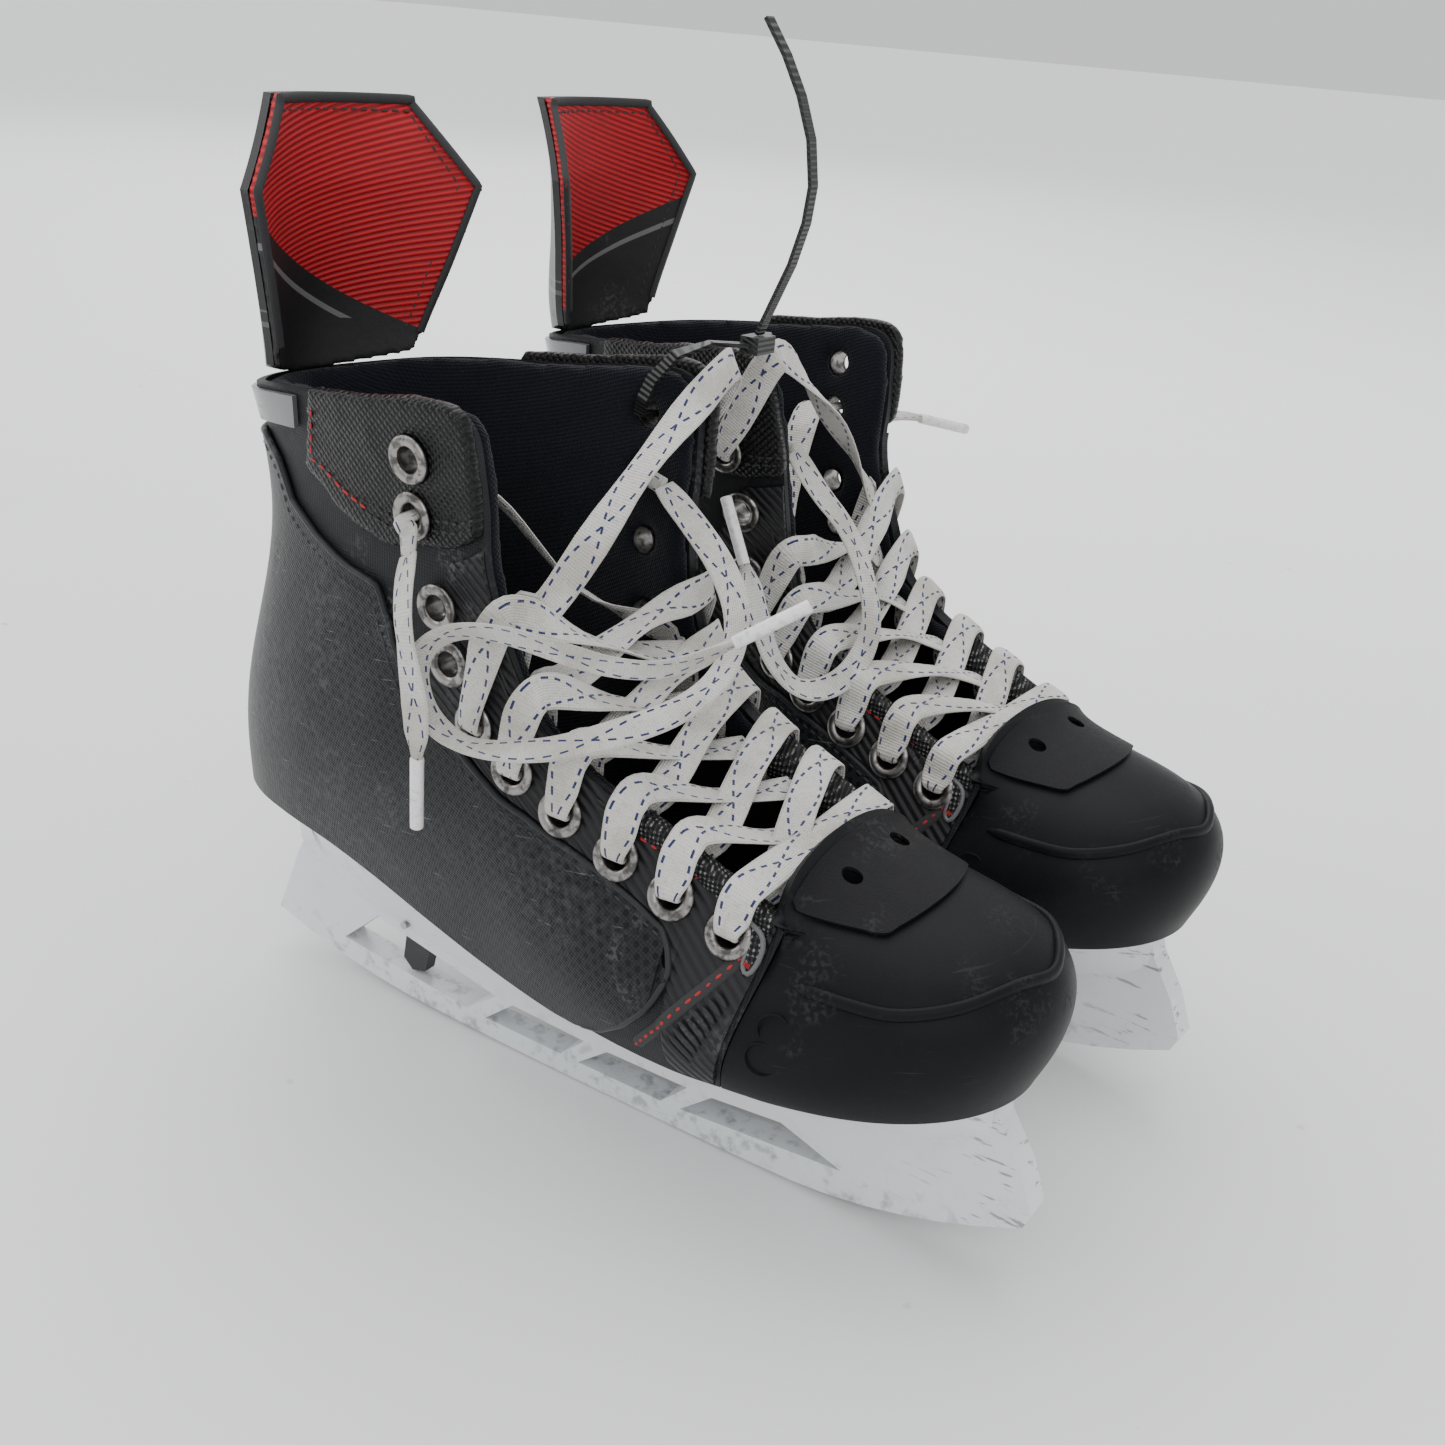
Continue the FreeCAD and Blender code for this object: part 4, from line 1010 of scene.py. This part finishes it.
def onWall(marks, hand, depth, step=0.7):
    # evenly spaced points and outward ways along a line of (u, v) on the wall
    fine = []
    for (u0, v0), (u1, v1) in zip(marks, marks[1:]):
        for k in range(24):
            fine.append((u0 + (u1 - u0) * k / 24, v0 + (v1 - v0) * k / 24))
    fine.append(marks[-1])
    points, outs = [], []
    for u, v in fine:
        inner = depth(u, v) if callable(depth) else depth
        at = mirrored(hand, u)
        point = skin(at, v, inner)
        if not points or (point - points[-1]).length >= step:
            points.append(point)
            outs.append(wallNormal(at, v))
    return points, outs


def bead(marks, hand, depth, halfWidth, height):
    points, outs = onWall(marks, hand, depth, 1.2)
    taper = [min(min(i, len(points) - 1 - i) / 2 + 0.35, 1) for i in range(len(points))]
    return tubeRows(points, outs, [halfWidth * t for t in taper], [height * t for t in taper])


def stitches(points, outs, length, gap, thick):
    # short rounded dashes along a line
    strips = []
    run, start = 0.0, None
    dash = []
    for i in range(1, len(points)):
        run += (points[i] - points[i - 1]).length
        inside = (run % (length + gap)) < length
        if inside:
            dash.append(i)
        elif dash:
            strips.append(dash)
            dash = []
    made = []
    for dash in strips:
        if len(dash) > 2:
            shape = [0.5] + [1.0] * (len(dash) - 2) + [0.5]
            made.append(tubeRows([points[i] for i in dash], [outs[i] for i in dash],
                                 [thick * t for t in shape], [thick * 0.8 * t for t in shape], 6))
    return made


def frontDepth(u, v):
    # the facing stands on the wall in front of the quarter, the shell is bare below it
    facing = wall["facing"] if u < 0.95 else wall["facing"] * max(1 - (u - 0.95) / 0.1, 0)
    return facing - 0.1


quarterEdge = [(1.04, 0.500), (1.04, 0.550), (1.12, 0.620), (1.25, 0.680), (1.57, 0.705), (1.98, 0.725),
               (2.40, 0.725), (2.75, 0.718), (3.14, 0.700), (3.70, 0.650), (4.78, 0.592), (5.56, 0.542),
               (6.30, 0.530), (6.80, 0.560), (7.10, 0.600), (7.32, 0.640), (7.70, 0.660), (8.29, 0.705),
               (8.84, 0.763), (9.20, 0.843), (9.60, 0.895), (11.0, 0.905)]
quarterFront = [(1.04, 0.500), (1.12, 0.410), (1.25, 0.320), (1.57, 0.190), (1.98, 0.080), (2.40, 0.030)]
weltLine = [(0.351, 0.784), (0.491, 0.660), (0.641, 0.537), (0.816, 0.418), (1.03, 0.285), (1.30, 0.165),
            (1.491, 0.082)]
bandStitch = [(1.73, 0.940), (1.56, 0.945), (1.15, 0.950), (0.91, 0.960), (0.70, 0.965)]
lobeLine = [(0.60, 0.965), (0.44, 0.945), (0.26, 0.930), (0.17, 0.880), (0.15, 0.800), (0.19, 0.735),
            (0.26, 0.725), (0.32, 0.760), (0.34, 0.830), (0.40, 0.895)]
redThread = threadFinish("redThread", (0.46, 0.018, 0.022))
blackThread = threadFinish("blackThread", (0.030, 0.030, 0.032))
bindingBlack = threadFinish("blackBinding", (0.022, 0.022, 0.024))
bindingGrey = threadFinish("greyBinding", (0.16, 0.16, 0.165))
edgePlastic = plasticFinish("quarterRim", (0.016, 0.017, 0.019), (0.032, 0.033, 0.036), 0.38, (0.16, 0.16, 0.165))
meshBlack = meshBandFinish()


def wrapLow(u):
    return 0.735 + 0.105 * abs(u - 7.3) ** 1.5


def addPiece(name, strips, side, finish):
    piece = rowsMesh(name + "_" + side, strips, side)
    paint(piece, finish)
    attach(piece, "skate_pair")
    return piece


rimBead = {"depth": -1.35, "halfWidth": 0.95, "height": 1.05}
weltBead = {"depth": frontDepth, "halfWidth": 1.9, "height": 0.75}
ribBead = {"depth": frontDepth, "halfWidth": 0.95, "height": 0.85}
tackBead = {"depth": -3.0, "halfWidth": 0.38, "height": 0.35}
# stitches: length, gap and thread thickness in mm
weltThread = {"length": 2.3, "gap": 1.3, "thick": 0.42}
bandThread = {"length": 2.4, "gap": 1.2, "thick": 0.40}
eyeletThread = {"length": 2.2, "gap": 1.0, "thick": 0.32}
rimThread = {"length": 2.4, "gap": 1.1, "thick": 0.34}
wrapThread = {"length": 2.2, "gap": 1.0, "thick": 0.34}
cornerThread = {"length": 2.6, "gap": 1.1, "thick": 0.42}
fineStep = 0.35
ribCount = 9
tackCount = 5
# the band's section: depth inside the wall and height above its edge
bandSection = [(-2.1, -5.5), (-2.7, -3.5), (-2.9, -1.2), (-2.3, 0.8), (-0.6, 1.7), (2.0, 2.1), (5.0, 2.1),
               (7.6, 1.4), (8.9, -0.2), (9.1, -2.2), (8.5, -4.2), (7.75, -4.6), (7.75, 0.15), (3.5, 0.3),
               (-1.65, 0.2), (-1.65, -5.5)]
for side in sides:
    rimBeads, welts, reds, blacks, ribBars, bands, lobes, lobeEdges = [], [], [], [], [], [], [], []
    for hand in eyeletMarks:
        rimBeads.append(bead(quarterEdge, hand, **rimBead))
        rimBeads.append(bead(quarterFront, hand, **rimBead))
        welts.append(bead(weltLine, hand, **weltBead))
        line, outs = onWall(weltLine, hand, lambda u, v: frontDepth(u, v) - weltBead["height"], fineStep)
        reds += stitches(line, outs, **weltThread)
        line, outs = onWall(bandStitch, hand, -1.55, fineStep)
        reds += stitches(line, outs, **bandThread)
        # a bar-tack of red threads
        for k in range(tackCount):
            tack = [(0.225 + 0.02 * k, 0.775), (0.225 + 0.02 * k, 0.735)]
            reds.append(bead(tack, hand, **tackBead))
        # short ribs that run down and forward from the welt
        for k in range(ribCount):
            t = (k + 0.6) / 9.4
            top = (0.47 + 0.50 * t, 0.60 - 0.385 * t)
            foot = (0.26 + 0.33 * t, 0.565 - 0.44 * t)
            ribBars.append(bead([foot, top], hand, **ribBead))
        # black stitch rows: along the eyelets, the quarter's rim and the wraps
        for height in (0.955, 0.935):
            line, outs = onWall([(1.9, height), (3.4, height), (5.3, height - 0.04)], hand, -1.5, fineStep)
            blacks += stitches(line, outs, **eyeletThread)
        inner = [(u, v - 0.028) for u, v in quarterEdge[3:]]
        line, outs = onWall(inner, hand, -2.2, fineStep)
        blacks += stitches(line, outs, **rimThread)
        for lift in (0.035, 0.055):
            edge = [(u, wrapLow(u) + lift) for u in (5.62, 5.9, 6.2, 6.6, 7.0, 7.3, 7.7)]
            line, outs = onWall(edge, hand, -4.55, fineStep)
            blacks += stitches(line, outs, **wrapThread)
        corner = [(7.6, wrapLow(7.6) + 0.045), (7.9, wrapLow(7.9) + 0.045), (8.2, wrapLow(8.2) + 0.04),
                  (8.36, 0.88), (8.38, 0.95), (8.38, 1.0)]
        line, outs = onWall(corner, hand, -4.55, fineStep)
        reds += stitches(line, outs, **cornerThread)
        # the padded band that binds the throat's edge
        rows = []
        for k in range(31):
            u = 0.16 + 1.62 * k / 30
            at = mirrored(hand, u)
            edge, inward, above = rimAt(at, 1.0, 0)
            out = wallNormal(at, 1.0)
            puff = 1 + 0.10 * math.sin(k * 1.7)
            rows.append([edge - out * depth + above * (lift * puff if lift > 1 else lift)
                         for depth, lift in bandSection])
        bands.append(rows)
        # the lobe that hangs from the band over the end of the welt
        middle = (0.27, 0.85)
        patch = []
        for share, lift in ((1.0, 1.45), (0.98, 2.2), (0.86, 2.75), (0.5, 3.0), (0.05, 3.05)):
            spots = [(middle[0] + (u - middle[0]) * share, middle[1] + (v - middle[1]) * share)
                     for u, v in smoothStops(lobeLine + lobeLine[:1], 4)[:-1]]
            patch.append([skin(mirrored(hand, u), v, -lift) for u, v in spots])
        lobes.append(patch)
        outline = [tuple(p) for p in smoothStops(lobeLine + lobeLine[:1], 3)]
        points, outs = onWall(outline, hand, -2.2, 1.0)
        lobeEdges.append(tubeRows(points, outs, [0.75] * len(points), [0.85] * len(points), 8))
    addPiece("quarter_rim", rimBeads, side, edgePlastic)
    addPiece("welt", welts, side, bindingBlack)
    addPiece("red_stitching", reds, side, redThread)
    addPiece("black_stitching", blacks, side, blackThread)
    addPiece("front_ribs", ribBars, side, edgePlastic)
    addPiece("throat_band", bands, side, meshBlack)
    addPiece("lobe", lobes, side, meshBlack)
    addPiece("lobe_binding", lobeEdges, side, bindingGrey)
print("welts, ribs and stitching")

# ---- the tendon guard's bound edge and its stitches
guard = {"base": 203.94, "rise": 6.0, "depth": 6.5, "height": 80}
guardRows = [(0, 18.5, 21.5, 24.0, 28.0, 17.0), (12, 19.0, 22.5, 25.5, 31.0, 19.0),
             (34, 22.0, 28.5, 31.0, 38.5, 20.0), (56, 25.0, 35.0, 35.5, 46.0, 20.0),
             (68, 20.5, 25.5, 26.0, 39.5, 13.0), (80, 14.5, 16.0, 15.5, 33.5, 5.0)]


def guardPoint(row, t, depth):
    height, lateralX, lateralY, medialX, medialY, sag = row
    x = lateralX + (medialX - lateralX) * (t + 1) / 2 - sag * (1 - t * t) + depth
    lift = guard["rise"] * t * t if height == 0 else 0
    return Vector((x, -lateralY + (medialY + lateralY) * (t + 1) / 2, guard["base"] + height + lift))


def guardOutline(depth, inset):
    # up the lateral edge, over the top and down the medial edge
    lower = smoothStops([list(r) for r in guardRows[:4]], 8)
    upper = smoothStops([list(r) for r in guardRows[3:]], 8)
    rows = lower[:-1] + upper
    rows = [r for r in rows if r[0] > 10 and r[0] < guard["height"] - inset]
    rows.append([guard["height"] - inset] + list(rows[-1][1:]))
    reach = 1 - inset / 32
    line = [guardPoint(r, -reach, depth) for r in rows]
    line += [guardPoint(rows[-1], -reach + 2 * reach * k / 12, depth) for k in range(1, 12)]
    line += [guardPoint(r, reach, depth) for r in reversed(rows)]
    return line


def evenly(line, step):
    made = [line[0]]
    for a, b in zip(line, line[1:]):
        count = max(int((b - a).length / step), 1)
        made += [a + (b - a) * k / count for k in range(1, count + 1)]
    return made


for side in sides:
    edge = evenly(guardOutline(guard["depth"] + 0.2, 1.0), 1.5)
    front = [Vector((1, 0, 0))] * len(edge)
    rope = tubeRows(edge, front, [1.5] * len(edge), [0.9] * len(edge), 8)
    piece = rowsMesh("guard_binding_" + side, [rope], side)
    paint(piece, bindingBlack)
    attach(piece, "tendon_guard_body_" + side)
    seam = evenly(guardOutline(guard["depth"] + 0.1, 4.2), 0.4)
    dashes = stitches(seam, [Vector((1, 0, 0))] * len(seam), 2.4, 1.0, 0.36)
    piece = rowsMesh("guard_stitching_" + side, dashes, side)
    paint(piece, blackThread)
    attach(piece, "tendon_guard_body_" + side)
print("guard binding")

# ---- the toe cap's bumper crest and side rings
crest = {"half": [(222.5, -40.6, 91.3), (238, -40.0, 91.8), (250, -36.8, 92.3), (262, -28.2, 95.1),
                  (271, -13.1, 98.0), (275.0, 0, 97.0)], "radius": 1.5}
rings = {"places": [(220.7, 45.3, 79.3), (218.9, 47.1, 70.8)], "radius": 4.6, "roll": 0.32}
capPlastic = moulded["toe_cap"]
for side in sides:
    stops = crest["half"] + [(x, -y, z) for x, y, z in crest["half"][-2::-1]]
    points = [Vector(p) for p in smoothStops(stops, 8)]
    outs = [Vector((p.x - 235, p.y * 1.2, 0)).normalized() for p in points]
    ends = [min(min(i, len(points) - 1 - i) / 4 + 0.3, 1) for i in range(len(points))]
    rows = tubeRows(points, outs, [crest["radius"] * 1.3 * t for t in ends], [crest["radius"] * t for t in ends], 10)
    addPiece("cap_crest", [rows], side, capPlastic)
    made = []
    for x, y, z in rings["places"]:
        for hand in (-1, 1):
            deselect()
            facing = turnPair(Vector((0.16, hand, 0.10)), side)
            bpy.ops.mesh.primitive_torus_add(major_segments=28, minor_segments=8, major_radius=rings["radius"] / 1000,
                                             minor_radius=rings["roll"] / 1000)
            ring = bpy.context.object
            turn = facing.to_track_quat("Z", "Y").to_matrix().to_4x4()
            ring.data.transform(Matrix.Translation(toPair((x, hand * y, z), side)) @ turn)
            made.append(ring)
    deselect()
    for ring in made:
        ring.select_set(True)
    bpy.context.view_layer.objects.active = made[0]
    bpy.ops.object.join()
    marks = bpy.context.object
    marks.name = "cap_rings_" + side
    smoothShade(marks, 50)
    paint(marks, capPlastic)
    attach(marks, "skate_pair")
print("toe cap relief")
